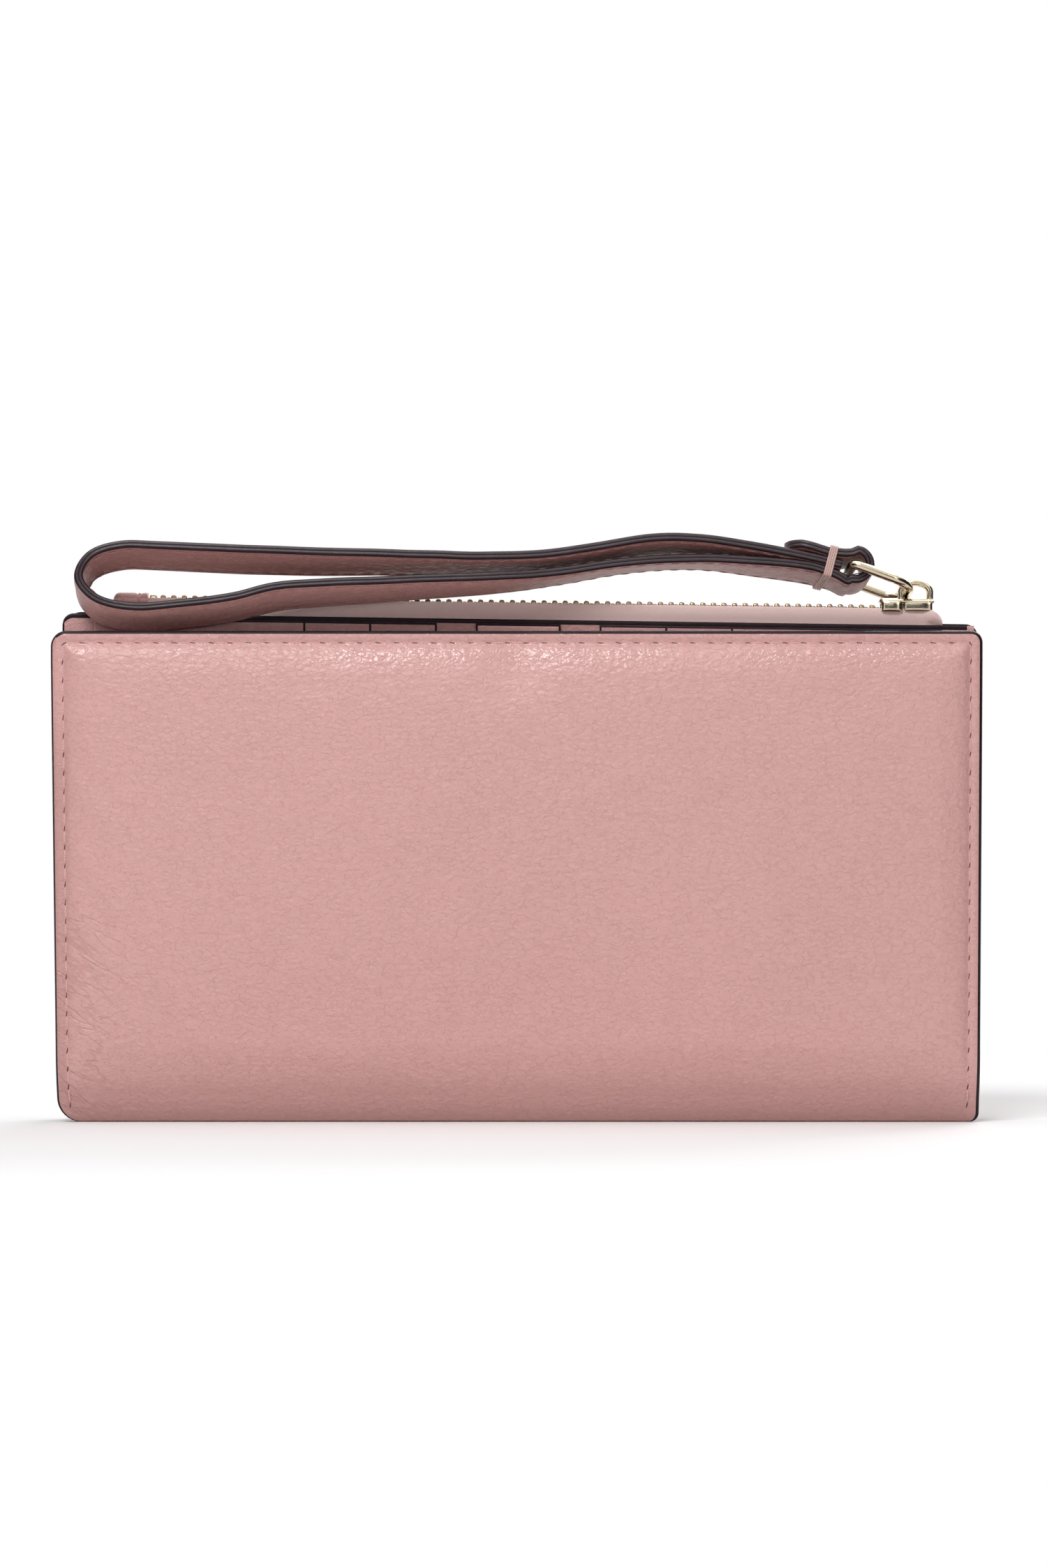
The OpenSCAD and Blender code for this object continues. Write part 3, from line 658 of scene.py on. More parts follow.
def stand_off(raised, z):
    """The swell fades towards the foot, and the hide is drawn in there before it rolls under."""
    fade = clamp((z - ROLL) / 10)
    drawn_in = FOOT_IN * clamp((FOOT_FROM - z) / (FOOT_FROM - ROLL)) ** 2
    return raised * (FOOT_SWELL + (1 - FOOT_SWELL) * fade) - drawn_in


def roll_height(t):
    return (1 - t) ** 3 * ROLL + 3 * t * (1 - t) ** 2 * ROLL_DROP


def roll_depth(start, t):
    """How far out the hide is on its way under, from the foot of the face to the flat below."""
    upper = (1 - t) ** 3 * start + 3 * t * (1 - t) ** 2 * (start - ROLL_LEAD)
    return upper + 3 * t * t * (1 - t) * ROLL_TOE + t ** 3 * (HALF_D - ROLL)


ROLL_T = np.linspace(0, 1, 41)
ROLL_Z = roll_height(ROLL_T)


def hide_depth(raised, z):
    """How far out the hide is at any height."""
    under = roll_depth(HALF_D - FOOT_IN + raised * FOOT_SWELL, np.interp(-z, -ROLL_Z, ROLL_T))
    return np.where(z < ROLL, under, HALF_D + stand_off(raised, z))


def cover_skin(name, cover, holes):
    stand = cover.top - ROLL
    cols, rows = spaced(COVER_W, 0.8), spaced(stand, 1.0, high=False)
    c, b = np.meshgrid(cols, rows)
    x, z = cover.outline(c, b)
    share = clamp((b - 8) / (stand - 8))
    z = z + share * (ROLL - (cover.top - cover.slope * x - stand))
    d = np.minimum(np.minimum(c, COVER_W - c), b)
    raised = swell(cover, x, z, d, holes)
    face = HALF_D + stand_off(raised, z)
    inner = np.minimum(HALF_D - HIDE + 0.35 * round_over(d, 0.5), face - THINNEST)
    front = [np.stack([x, cover.side * face, z], -1)]
    back = [np.stack([x, cover.side * inner, z], -1)]
    start = HALF_D - FOOT_IN + raised[-1] * FOOT_SWELL
    for row in range(1, ROLL_ROWS + FLAT_ROWS + 1):
        t = min(row, ROLL_ROWS) / ROLL_ROWS
        angle = t * math.pi / 2
        flat = max(0, row - ROLL_ROWS) / FLAT_ROWS
        low, cut = roll_height(t), ROLL - (ROLL - HIDE) * math.sin(angle)
        y = roll_depth(start, t) * (1 - flat)
        y_cut = (HALF_D - ROLL) * (1 - flat) + (start - THINNEST - HALF_D + ROLL) * math.cos(angle)
        wide = cover.lean(cols - HALF_W, np.full(len(cols), low))
        for grid, depth, level in ((front, y, low), (back, y_cut, cut)):
            grid.append(np.stack([wide, cover.side * depth, np.full(len(cols), level)], -1)[None])
    less_at_left = 0.3 if cover is near else 0.0
    from_top = np.concatenate([b, np.full((ROLL_ROWS + FLAT_ROWS, len(cols)), COVER_W)])
    from_edge = np.minimum(np.minimum(cols + less_at_left, COVER_W - cols), from_top)
    marks = grid_marks(from_edge, PAINT_W)
    return sheet_mesh(name, np.concatenate(front), np.concatenate(back), [cover_leather, dark_edge], marks, 1)


def bend_at_fold(piece):
    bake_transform(piece)


near_skin = cover_skin("near_cover_skin", near, near_holes)
far_skin = cover_skin("far_cover_skin", far, far_holes)
for skin, cover in ((near_skin, near), (far_skin, far)):
    bend_at_fold(skin)
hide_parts("near_cover", "spine_cover")
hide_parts("far_cover")
print("skins", len(near_skin.data.vertices), len(far_skin.data.vertices), "points")

# %% [markdown]
# Each stitch is a short length of thread that rises out of one hole and dives into the next, so it is
# thickest in the middle and slopes down at both ends. All the stitches of one row share one mesh. At
# each hole a dark slit, turned a little off the row, is painted shadow: the shade inside the needle's
# hole. Near both ends of a row two stitches are sewn twice.

# %% Sew a row
def sew(name, starts, ends, faces_out, material, radius, sink=0.16, lift=0.26):
    """Stitches in mm between pairs of points, arched along the way that each face looks."""
    stations, sides = 7, 8
    points, faces = [], []
    for start, end, out in zip(starts, ends, faces_out):
        beside = np.cross(out, unit(end - start))
        faces += tube_faces(stations, sides, len(points))
        for k in range(stations):
            u = k / (stations - 1)
            arch = math.sin(math.pi * u)
            middle = start + (end - start) * (0.1 + 0.8 * u) + out * (lift * arch ** 0.6 - sink)
            r = radius * (0.45 + 0.55 * arch ** 0.5)
            for s in range(sides):
                a = 2 * math.pi * s / sides
                points.append(middle + beside * r * math.cos(a) + out * r * 0.8 * math.sin(a))
    return add_mesh(name, points, faces, [material])


def slits(name, lines, out, material, width=0.2):
    """Dark slits in mm, painted shadow in the stitch holes. Each follows a short line of points on the hide,
    and is a thin spindle there.
    """
    points, faces = [], []
    for line in lines:
        beside = unit(np.cross(out, line[-1] - line[0]))
        faces += tube_faces(len(line), 4, len(points))
        for k, spot in enumerate(line):
            w = beside * width * math.sqrt(max(0.02, 1 - (2 * k / (len(line) - 1) - 1) ** 2))
            points += [spot - w - out * 0.03, spot + out * 0.13, spot + w - out * 0.03, spot - out * 0.2]
    return add_mesh(name, points, faces, [material])


def cover_row(name, cover, holes):
    """The row of stitches on one cover, with a dark slit painted as the shadow in each hole."""
    out = np.array((0.0, cover.side, 0.0))

    def on_hide(flat):
        x, z = flat[:, 0], flat[:, 1]
        height = swell(cover, x, z, np.full(len(flat), STITCH_IN), holes)
        return np.stack([x, cover.side * hide_depth(height, z), z], -1)

    places = on_hide(holes)
    ahead = unit(np.gradient(holes, axis=0))
    turned = ahead + np.stack([ahead[:, 1], -ahead[:, 0]], -1) * 0.2
    lines = [on_hide(hole + np.linspace(-0.62, 0.62, 7)[:, None] * way) for hole, way in zip(holes, turned)]
    twice = np.array((4, 5, len(places) - 7, len(places) - 6))
    shift = np.array((0.3, 0.0, 0.3))
    starts = np.concatenate([places[:-1], places[twice] + shift])
    ends = np.concatenate([places[1:], places[twice + 1] + shift])
    row = sew(name, starts, ends, [out] * len(starts), pink_thread, radius=0.22, lift=0.3)
    for piece in (row, slits(name + "_holes", lines, out, hole_shadow)):
        bend_at_fold(piece)
    return row


near_row = cover_row("near_cover_stitches", near, near_holes)
far_row = cover_row("far_cover_stitches", far, far_holes)
print("stitch rows", near_row.name, far_row.name)

# %% [markdown]
# Inside the wallet every pocket is a thin sheet of lining or skived leather. They are not flat boards:
# they share the same slow wave, so layers that touch stay touching, their cut edges are rounded, and
# the edges that a thumb meets are painted dark. One function makes them all from the solids' own boxes.

# %% Pocket sheets
WAVE_MM = 0.12
CARD_CREST, POCKET_CREST = 103.0, 104.0
CARD_PAINT, LEFT_PAINT = 0.42, 0.6
SLOPES = {"near": 0.0, "far": SLOPE}
FINISHES = {"pocket_leather": pocket_leather, "lining_fabric": lining_cloth,
            "zip_tape_fabric": zip_cloth, "stiffener_board": board_stock}


def wave(x, z):
    """The slow wave that all layers of the wallet share, in mm."""
    return WAVE_MM * (np.sin(x / 17.0 + 0.4) * np.cos(z / 23.0) + 0.5 * np.sin((x - z) / 11.0))


def soft_steps(length):
    return spaced(length, 3.0) if length > 14 else np.linspace(0, length, 12)


def pocket_sheet(node, half, slot, painted="", paint_w=0.0, wider=0.0, crest=None, foot=None, corner=0.0):
    """A soft sheet in the place of a thin upright solid. painted names the edges that are painted."""
    (x0, y0, z0), (x1, y1, z1) = box_mm(node)
    x0, x1 = x0 - wider, x1 + wider
    z0 = z0 if foot is None else foot
    slope, width = SLOPES[half], x1 - x0
    tall = z1 - slope * width - z0
    cols, rows = soft_steps(width), soft_steps(tall)
    c, b = np.meshgrid(cols, rows)
    x = x0 + c
    top = z1 - slope * c if crest is None else crest - slope * x
    top = top - corner + np.sqrt(corner ** 2 - np.clip(corner - c, 0, corner) ** 2)
    z = top - b * (top - z0) / tall
    sides = {"left": c, "right": width - c, "top": b, "foot": rows[-1] - b}
    d = np.minimum.reduce(list(sides.values()))
    half_t = (y1 - y0) / 2
    round_off = half_t * 0.85 * round_over(d, half_t * 1.6)
    middle = (y0 + y1) / 2 + wave(x, z)
    front = np.stack([x, middle - half_t + round_off, z], -1)
    back = np.stack([x, middle + half_t - round_off, z], -1)
    marks = np.zeros((len(rows) - 1, len(cols) - 1), int)
    for name in painted.split():
        marks |= grid_marks(sides[name], min(paint_w, LEFT_PAINT) if name == "left" else paint_w)
    sheet = sheet_mesh(node + "_sheet", front, back, [FINISHES[slot], dark_edge], marks, 1 if painted else 0)
    return settle(sheet, half + "_half", slot, node)


made = []
for half, slope in SLOPES.items():
    lining = pocket_sheet(half + "_lining", half, "lining_fabric")
    made.append(lining)
    crest = CARD_CREST if half == "far" else None
    for k in (1, 2, 3):
        for bank, inner in (("left", "right"), ("right", "left")):
            name = f"{half}_card_{bank}_{k}"
            made.append(pocket_sheet(name, half, "pocket_leather", inner + " top", CARD_PAINT, crest=crest))
for node, half, painted, paint_w, more in (
        ("near_slip_pocket", "near", "top", 0.9, {}),
        ("zip_pocket_front", "far", "top left", 1.1, {"wider": 6.7, "crest": POCKET_CREST, "corner": 2.4}),
        ("zip_pocket_back", "far", "top", 0.9, {}),
        ("snap_patch", "far", "left right top", CARD_PAINT, {"crest": CARD_CREST})):
    made.append(pocket_sheet(node, half, "pocket_leather", painted, paint_w, **more))
made.append(pocket_sheet("zip_tape_back", "far", "zip_tape_fabric"))
print("pocket sheets", len(made))

# %% Bar tack
NEARWARD, UPWARD = np.array((0.0, -1.0, 0.0)), np.array((0.0, 0.0, 1.0))
TACK_STITCHES = 5
(_, tack_y, _), (tack_x, _, _) = box_mm("zip_pocket_front")
tack_x += 5.4
tack_z = POCKET_CREST - SLOPE * tack_x
starts = [np.array((tack_x + 0.28 * k, tack_y - 0.02, tack_z - 1.55)) for k in range(TACK_STITCHES)]
ends = [start + UPWARD * 1.7 for start in starts]
outs = [NEARWARD] * TACK_STITCHES
tack = sew("zip_pocket_tack", starts, ends, outs, pink_thread, radius=0.17, sink=0.08, lift=0.2)
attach(tack, "far_half")
print("bar tack at", round(tack_x, 1))

# %% [markdown]
# The boards never show more than an edge. They end above the roll, where the hide is drawn in. The
# gusset and the spine's strip of lining are cloth, so they are remade as thin folded sheets.

# %% Boards, gusset and spine lining
BOARD_FOOT = 13.0
GUSSET_R = 3
for half in SLOPES:
    pocket_sheet(half + "_board", half, "stiffener_board", foot=BOARD_FOOT)


def folded_strip(name, node, body, line, y0, y1, thick):
    """Cloth in mm that follows a line in x and z, between two depths."""
    line = np.array(line, float)
    ahead = unit(np.gradient(line, axis=0))
    normal = np.stack([-ahead[:, 1], ahead[:, 0]], -1)
    depths = np.linspace(y0, y1, 9)
    sag = 0.25 * np.sin(np.linspace(0, math.pi, 9))
    grids = []
    for offset in (thick, 0.0):
        x = line[:, :1] + normal[:, :1] * (offset + sag)
        z = line[:, 1:] + normal[:, 1:] * (offset + sag)
        grids.append(np.stack([x, np.repeat(depths[None], len(line), 0), z], -1))
    return settle(sheet_mesh(name, *grids, [lining_cloth]), body, "lining_fabric", node)


(gx0, gy0, gz0), (gx1, gy1, gz1) = box_mm("zip_pocket_gusset")
turn = [(gx0 + GUSSET_R * (1 - math.cos(a)), gz0 + GUSSET_R * (1 - math.sin(a)))
        for a in np.linspace(0, math.pi / 2, 7)]
half_line = [(gx0, z) for z in np.linspace(gz1, gz0 + GUSSET_R + 1, 24)] + turn
line = half_line + [(x, gz0) for x in np.linspace(gx0 + 2 * GUSSET_R, gx1 - 2 * GUSSET_R, 40)]
line += [(gx0 + gx1 - x, z) for x, z in half_line[::-1]]
folded_strip("zip_gusset_cloth", "zip_pocket_gusset", "far_half", line, gy0, gy1, 0.4)
(sx0, sy0, sz0), (sx1, sy1, _) = box_mm("spine_lining")
floor_line = [(x, sz0) for x in np.linspace(sx0, sx1, 60)]
folded_strip("spine_lining_cloth", "spine_lining", "spine", floor_line, sy0, sy1, 0.35)
print("gusset and spine lining made")

# %% [markdown]
# The zip is a row of stamped teeth, each clamped over the edge of its tape and hooked between its two
# neighbours across the gap. A tooth is a small rounded block, so a bevelled box is the right start: the
# bevel is what catches the light.

# %% Zip teeth
ZIP_Y = 4.3
CHAIN_Z = 107.0
TOOTH_PITCH = 2.2
BOX_FACES = ((0, 1, 3, 2), (4, 6, 7, 5), (0, 4, 5, 1), (2, 3, 7, 6), (0, 2, 6, 4), (1, 5, 7, 3))


def on_zip(points):
    """From the zip's own frame in mm, along, across and up, to the wallet's frame."""
    p = np.asarray(points, float)
    x = p[..., 0] * math.cos(SLOPE_ANGLE) + p[..., 2] * math.sin(SLOPE_ANGLE)
    z = CHAIN_Z - p[..., 0] * math.sin(SLOPE_ANGLE) + p[..., 2] * math.cos(SLOPE_ANGLE)
    return np.stack([x, ZIP_Y + p[..., 1], z], -1)


def blocks(name, boxes, material, bevel, node):
    """Boxes in the zip's frame, given by two corners, as one mesh with rounded edges."""
    points, faces = [], []
    for low, high in boxes:
        base = len(points)
        points += [(x, y, z) for x in (low[0], high[0]) for y in (low[1], high[1]) for z in (low[2], high[2])]
        faces += [tuple(base + k for k in face) for face in BOX_FACES]
    piece = add_mesh(name, on_zip(points), faces, [material])
    rounding = piece.modifiers.new("rounding", "BEVEL")
    rounding.width = bevel * MM
    rounding.segments = 3
    return settle(piece, "far_half", "zip_metal", node)


(tx0, _, _), (tx1, _, _) = box_mm("zip_teeth_front")
tooth_count = int((tx1 - tx0) / TOOTH_PITCH) + 1
for row, sign, lag, crown in (("front", -1, 0.0, 1.1), ("back", 1, 0.5, 0.7)):
    boxes = []
    head = sorted((sign * 2.05, -sign * 0.45))
    grip = sorted((sign * 2.12, sign * 1.0))
    for k in range(tooth_count):
        x = tx0 + 0.6 + (k + lag) * TOOTH_PITCH
        boxes.append(((x - 0.5, head[0], -0.5), (x + 0.5, head[1], crown)))
        boxes.append(((x - 0.58, grip[0], -0.95), (x + 0.58, grip[1], crown - 0.15)))
    blocks(f"zip_teeth_{row}_row", boxes, dark_reflection_tooth_gold, 0.3, "zip_teeth_" + row)
print("teeth in a row", tooth_count)

# %% [markdown]
# The front tape stands up against the chain and hides the lower half of the teeth, so only a row of small
# bumps shows above it. At the right it runs past the slider and is tucked down in a soft rounded end.

# %% Front tape
TAPE_END, TUCK, TUCK_FROM = 88.2, 4.0, -4.0
TAPE_PROFILE = np.array([(-1.8, -6.5), (-1.8, -5.0), (-1.85, -4.0), (-1.95, -3.0), (-2.15, -2.2),
                         (-2.35, -1.4), (-2.42, -0.7), (-2.42, -0.1), (-2.40, 0.25), (-2.32, 0.42)])
(px0, _, _), _ = box_mm("zip_tape_front")
rounded_end = TAPE_END - TUCK * (1 - np.sin(np.linspace(0, 1.5, 14)))
along = np.concatenate([np.linspace(px0, TAPE_END - TUCK, 70)[:-1], rounded_end])
tuck = clamp((along - (TAPE_END - TUCK)) / TUCK)
drawn = np.sqrt(1 - tuck ** 2)
puff = -0.55 * np.sin(math.pi * np.clip(tuck, 0, 0.8))
ripple = np.array([0.05 * noise.noise(Vector((x * 0.35, 8.2, 0.0))) for x in along])
level = TAPE_PROFILE[:, 1:] * np.ones((1, len(along)))
lowered = TUCK_FROM + (level - TUCK_FROM) * (0.25 + 0.75 * drawn)
level = np.where(level > TUCK_FROM, lowered, level)
depth = TAPE_PROFILE[:, :1] + puff * clamp((level + 2.9) / 1.4) + ripple
depth = depth + 0.5 * tuck * clamp(-level - 2.6)
middle = np.stack([np.broadcast_to(along, level.shape), depth, level], -1)
half_t = np.array((0.0, 0.2, 0.0))
tape_front = sheet_mesh("zip_tape_front_cloth", on_zip(middle - half_t), on_zip(middle + half_t), [zip_cloth])
settle(tape_front, "far_half", "zip_tape_fabric", "zip_tape_front")
print("front tape", round(TAPE_END - px0, 1), "mm long")

# %% Stops
(bx0, _, _), (bx1, _, _) = box_mm("zip_bottom_stop")
blocks("zip_bottom_stop_clip", [((bx0, -1.7, -1.1), (bx1, 1.7, 1.15))], gold, 0.35, "zip_bottom_stop")
(ux0, _, _), (ux1, _, _) = box_mm("zip_top_stops")
clips = [((ux0, s * 1.05 - 0.6, -1.1), (ux1, s * 1.05 + 0.6, 1.1)) for s in (-1, 1)]
blocks("zip_top_stop_clips", clips, gold, 0.3, "zip_top_stops")
print("stops made")

# %% [markdown]
# The left end of the zip is hidden in a small tab of leather, folded over the chain and sewn through.
# It is a soft pillow with a round end, so it is made as a sheet whose two faces meet in a rounded rim.

# %% Zip end tab
(ex0, ey0, _), (ex1, ey1, _) = box_mm("zip_end_tab")
TAB_L, TAB_HALF, TAB_T = ex1 - ex0, (ey1 - ey0) / 2, 3.0
TAB_ROUND, TAB_SEAM = 2.6, 1.7
along = np.concatenate([np.linspace(0, 1, 10) ** 2 * TAB_ROUND, np.linspace(2.9, TAB_L, 10)])
u, v = np.meshgrid(along, bunched(17))
round_end = clamp(1 - u / TAB_ROUND)
width = TAB_HALF * np.sqrt(1 - round_end ** 2) + 1e-3
rim = np.sqrt(clamp(1 - np.abs(v) ** 5)) * (1 - round_end ** 6)
pinch = 0.35 * np.exp(-((u - TAB_L + TAB_SEAM) / 0.5) ** 2)
grids = [on_zip(np.stack([ex0 + u, v * width, s * (TAB_T / 2 - pinch) * rim], -1)) for s in (1, -1)]
tab = sheet_mesh("zip_end_tab_leather", *grids, [pocket_leather])
settle(tab, "far_half", "pocket_leather", "zip_end_tab")
tab_line = on_zip([(ex1 - TAB_SEAM, y, TAB_T / 2 - 0.3) for y in (-2.2, -0.75, 0.75, 2.2)])
tab_front = on_zip([(ex1 - TAB_SEAM, -TAB_HALF - 0.02, z) for z in (-1.0, 0.9)])
outs = [UPWARD] * 3 + [NEARWARD]
starts = np.concatenate([tab_line[:-1], tab_front[:1]])
ends = np.concatenate([tab_line[1:], tab_front[1:]])
tab_stitch = sew("zip_end_tab_stitches", starts, ends, outs, pink_thread, radius=0.2)
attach(tab_stitch, "far_half")
print("end tab", round(TAB_L, 2), "mm long")

# %% [markdown]
# The slider is cast metal: a crowned top plate, narrow where the zip is closed and wide at the
# shoulders, with a flange down each side. The bridge is an arch that holds the ring. Sweeping a small
# rounded section along a path makes the arch, and the same helper makes the ring and the thread.

# %% Sweep helper and slider
joints = {j["name"]: j for j in frame["record"]["behaviour"]["joints"]}
SLIDER_X = 80.4
PLATE_Z = 1.35
PLATE_AT = (-5.35, -4.9, -1.5, 1.0, 5.0, 6.0)
PLATE_HALF = (2.1, 2.55, 3.05, 3.25, 3.2, 2.6)
FLANGES = (("nose", -4.9, -0.6, -0.35, 3.2, 0.32), ("heel", -0.2, 5.6, -0.15, 3.1, 0.22))
FLANGE_ROOT = 2.9


def sweep(name, path, side, section, material, closed=False):
    """A section in mm, beside and off the path, carried along it. side is the way that beside points."""
    path = np.asarray(path, float)
    side = np.broadcast_to(np.asarray(side, float), path.shape)
    ahead = np.roll(path, -1, 0) - np.roll(path, 1, 0) if closed else np.gradient(path, axis=0)
    ahead = unit(ahead)
    off = unit(np.cross(ahead, side))
    beside = np.cross(off, ahead)
    rings = np.stack([path + beside * a + off * b for a, b in section], 1)
    faces = tube_faces(len(path), len(section), closed=closed)
    return add_mesh(name, rings.reshape(-1, 3), faces, [material])


def oval(width, height, sides=16, power=2.0):
    """Closed section: round at power 2, squarer above."""
    turns = 2 * math.pi * np.arange(sides) / sides
    across, up = [np.copysign(np.abs(part) ** (2 / power), part) for part in (np.cos(turns), np.sin(turns))]
    return np.stack([width / 2 * across, height / 2 * up], -1)


u, v = np.meshgrid(np.linspace(PLATE_AT[0], PLATE_AT[-1], 29), bunched(19))
half_wide = np.interp(u, PLATE_AT, PLATE_HALF)
ends_off = np.clip(np.abs(u - 0.325) - 5.075, 0, 0.6) / 0.6
crown = np.sqrt(clamp(1 - np.abs(v) ** 4)) * np.sqrt(1 - ends_off ** 2 * 0.9)
plate_top = np.stack([SLIDER_X + u, v * half_wide, PLATE_Z + 0.45 + 0.75 * crown], -1)
plate_low = np.stack([SLIDER_X + u, v * half_wide, PLATE_Z + 0.40 - 0.35 * crown], -1)
plate = sheet_mesh("slider_plate", on_zip(plate_top), on_zip(plate_low), [gold])
settle(plate, "slider", "zip_metal", "slider_body")
u, v = np.meshgrid(bunched(17), bunched(9))
softer = np.sqrt(clamp(1 - np.abs(u) ** 8)) * np.sqrt(clamp(1 - np.abs(v) ** 8))
for side, s in (("near", -1), ("far", 1)):
    for end, x0, x1, low, out, belly in FLANGES:
        x = SLIDER_X + (x0 + x1) / 2 + u * (x1 - x0) / 2
        z = (low + PLATE_Z + 0.6) / 2 + v * (PLATE_Z + 0.6 - low) / 2
        bulge = (out - FLANGE_ROOT + belly * (1 - u * u)) * softer
        face = np.stack([x, s * (FLANGE_ROOT + bulge), z], -1)
        back = np.stack([x, s * (FLANGE_ROOT - 0.2 * softer), z], -1)
        flange = sheet_mesh(f"slider_flange_{side}_{end}", on_zip(face), on_zip(back), [gold])
        settle(flange, "slider", "zip_metal")
print("slider at", SLIDER_X)

# %% Bridge and ring
LEFT_FOOT, RIGHT_FOOT, SPRING, ARCH_TOP = -0.75, 5.25, 3.9, 5.85
POST = (2.0, 2.8, 3.6)
mid, reach = (LEFT_FOOT + RIGHT_FOOT) / 2, (RIGHT_FOOT - LEFT_FOOT) / 2
arch = [(LEFT_FOOT, 0, z) for z in POST]
for a in np.linspace(0.05, math.pi - 0.05, 21):
    arch.append((mid - reach * math.cos(a), 0, SPRING + (ARCH_TOP - SPRING) * math.sin(a)))
arch += [(RIGHT_FOOT, 0, z) for z in POST[::-1]]
arch_path = on_zip(np.array(arch) + (SLIDER_X, 0, 0))
bridge = sweep("slider_arch", arch_path, (0, 1, 0), oval(3.0, 1.45, 20, 3.0), gold)
settle(bridge, "slider", "zip_metal", "slider_bridge")

hinge = np.array(joints["ring_swing"]["pos_m"]) / MM
eye = np.array(joints["strap_swing"]["pos_m"]) / MM + (0.4, 0.0, -1.1)
to_eye = unit(eye - hinge)
RING_L = float(np.linalg.norm(eye - hinge))
LEG_Y, EYE_BEND, BRIDGE_BEND = 6.8, 1.7, 4.2
ROLL_OVER, YAW = math.radians(12), math.radians(5)
corners = []
for quarter, along, across, bend in ((0, RING_L - EYE_BEND, LEG_Y - EYE_BEND, EYE_BEND),
                                     (1, BRIDGE_BEND, LEG_Y - BRIDGE_BEND, BRIDGE_BEND),
                                     (2, BRIDGE_BEND, BRIDGE_BEND - LEG_Y, BRIDGE_BEND),
                                     (3, RING_L - EYE_BEND, EYE_BEND - LEG_Y, EYE_BEND)):
    for a in np.linspace(quarter, quarter + 1, 9) * math.pi / 2:
        corners.append((along + bend * math.cos(a), across + bend * math.sin(a)))
bar = np.array((-math.sin(YAW) * math.cos(ROLL_OVER), math.cos(YAW) * math.cos(ROLL_OVER),
                -math.sin(ROLL_OVER)))
ring_path = [hinge + to_eye * a + bar * b for a, b in corners]
ring_plane = unit(np.cross(to_eye, bar))
ring = sweep("wire_ring", ring_path, ring_plane, oval(1.95, 2.1, 18), gold, closed=True)
settle(ring, "ring", "zip_metal", "pull_ring")
print("ring", round(RING_L, 2), "mm between its bars")

# %% [markdown]
# The strap is one long loop: two plies of leather, glued back to back, sewn along both edges and
# painted on the cut. It leaves the binding, runs to the left, bends over at the far end, comes back
# underneath, turns round the ring and ends in a short rounded tail on top. The points below are where
# it lies in the photograph: distance from the ring, height, depth, and how far its face leans.

# %% Where the strap lies
STACK_DEG = 14
STACK = math.radians(STACK_DEG)
LAYER, EYE_R, TAIL_L, EYE_TILT = 2.0, 3.1, 14.2, 12
TAIL_AT = (0, 2, 5, 8.5, 11, 13, 15)
TAIL_UP = (EYE_R - 0.2, LAYER + 0.2, LAYER - 0.4, LAYER - 0.15, LAYER - 0.05, LAYER - 0.3, LAYER - 0.75)


def in_stack(d, h, tilt=0.0):
    return (d * math.cos(STACK) - h * math.sin(STACK), d * math.sin(STACK) + h * math.cos(STACK), 0.0, tilt)


LIE = [in_stack(2.1, -0.4, 14), in_stack(9, -0.4, 14), (21, 4.0, -0.8, 15), (31.5, 5.4, -1.8, 16),
       (42.5, 5.2, -3.2, 16), (60.5, 2.3, -5.8, 16), (74.5, 1.4, -7.5, 17), (88.5, 1.5, -8.3, 19),
       (117.5, 1.9, -9.4, 24), (142.5, 2.9, -9.4, 24), (151, 2.9, -9.4, 24), (156.8, 0.9, -9.4, 24),
       (159.2, -3.7, -9.4, 24), (155.5, -8.1, -9.4, 24), (148, -9.7, -9.4, 24), (139, -9.1, -9.4, 24),
       (127.5, -7.6, -9.4, 24), (117, -5.3, -9.4, 24), (94.5, -3.9, -9.0, 20), (74.5, -2.7, -8.0, 15),
       (62, -1.4, -6.0, 10), (46, 1.2, -4.0, 7), (32, 2.0, -1.9, 7), (18, 0.9, -0.6, 13),
       in_stack(9, -LAYER - 0.4, 15), in_stack(5, -LAYER - 0.4, 14), in_stack(2.5, -LAYER - 0.6, 13),
       in_stack(0, -EYE_R - 0.2, EYE_TILT)]
turn_middle = eye + (0.6, 0.0, 0.35)


def smooth(a, b, c, d, t):
    """A Catmull-Rom curve from b to c."""
    return (2 * b + (c - a) * t + (2 * a - 5 * b + 4 * c - d) * t ** 2 + (3 * b - a - 3 * c + d) * t ** 3) / 2


spots = [np.array((eye[0] - p, eye[1] + y, eye[2] + z, tilt)) for p, z, y, tilt in LIE]
line = []
for i in range(len(spots) - 1):
    a, d = spots[max(0, i - 1)], spots[min(len(spots) - 1, i + 2)]
    line += [smooth(a, spots[i], spots[i + 1], d, k / 8) for k in range(8)]
for k in range(17):
    turn = math.radians(-90 - STACK_DEG + 11.25 * k)
    round_eye = turn_middle + EYE_R * np.array((math.cos(turn), 0.0, math.sin(turn)))
    line.append(np.append(round_eye, EYE_TILT))
for k in range(1, 33):
    d = TAIL_L * math.sin(k / 32 * 1.5) / math.sin(1.5)
    p, z = in_stack(d, np.interp(d, TAIL_AT, TAIL_UP))[:2]
    line.append(np.array((eye[0] - p, eye[1], eye[2] + z, EYE_TILT + 2 * min(1, d / 4))))
line = np.array(line)
tilts = np.radians(line[:, 3])
strap_path = line[:, :3]
swing = YAW * clamp(1 - (eye[0] - line[:, 0]) / 30)
strap_side = np.stack([-np.sin(swing) * np.cos(tilts), np.cos(swing) * np.cos(tilts), -np.sin(tilts)], -1)
steps = np.linalg.norm(np.diff(strap_path, axis=0), axis=1)
run = np.concatenate([[0.0], np.cumsum(steps)])
print("strap", round(run[-1], 1), "mm long")

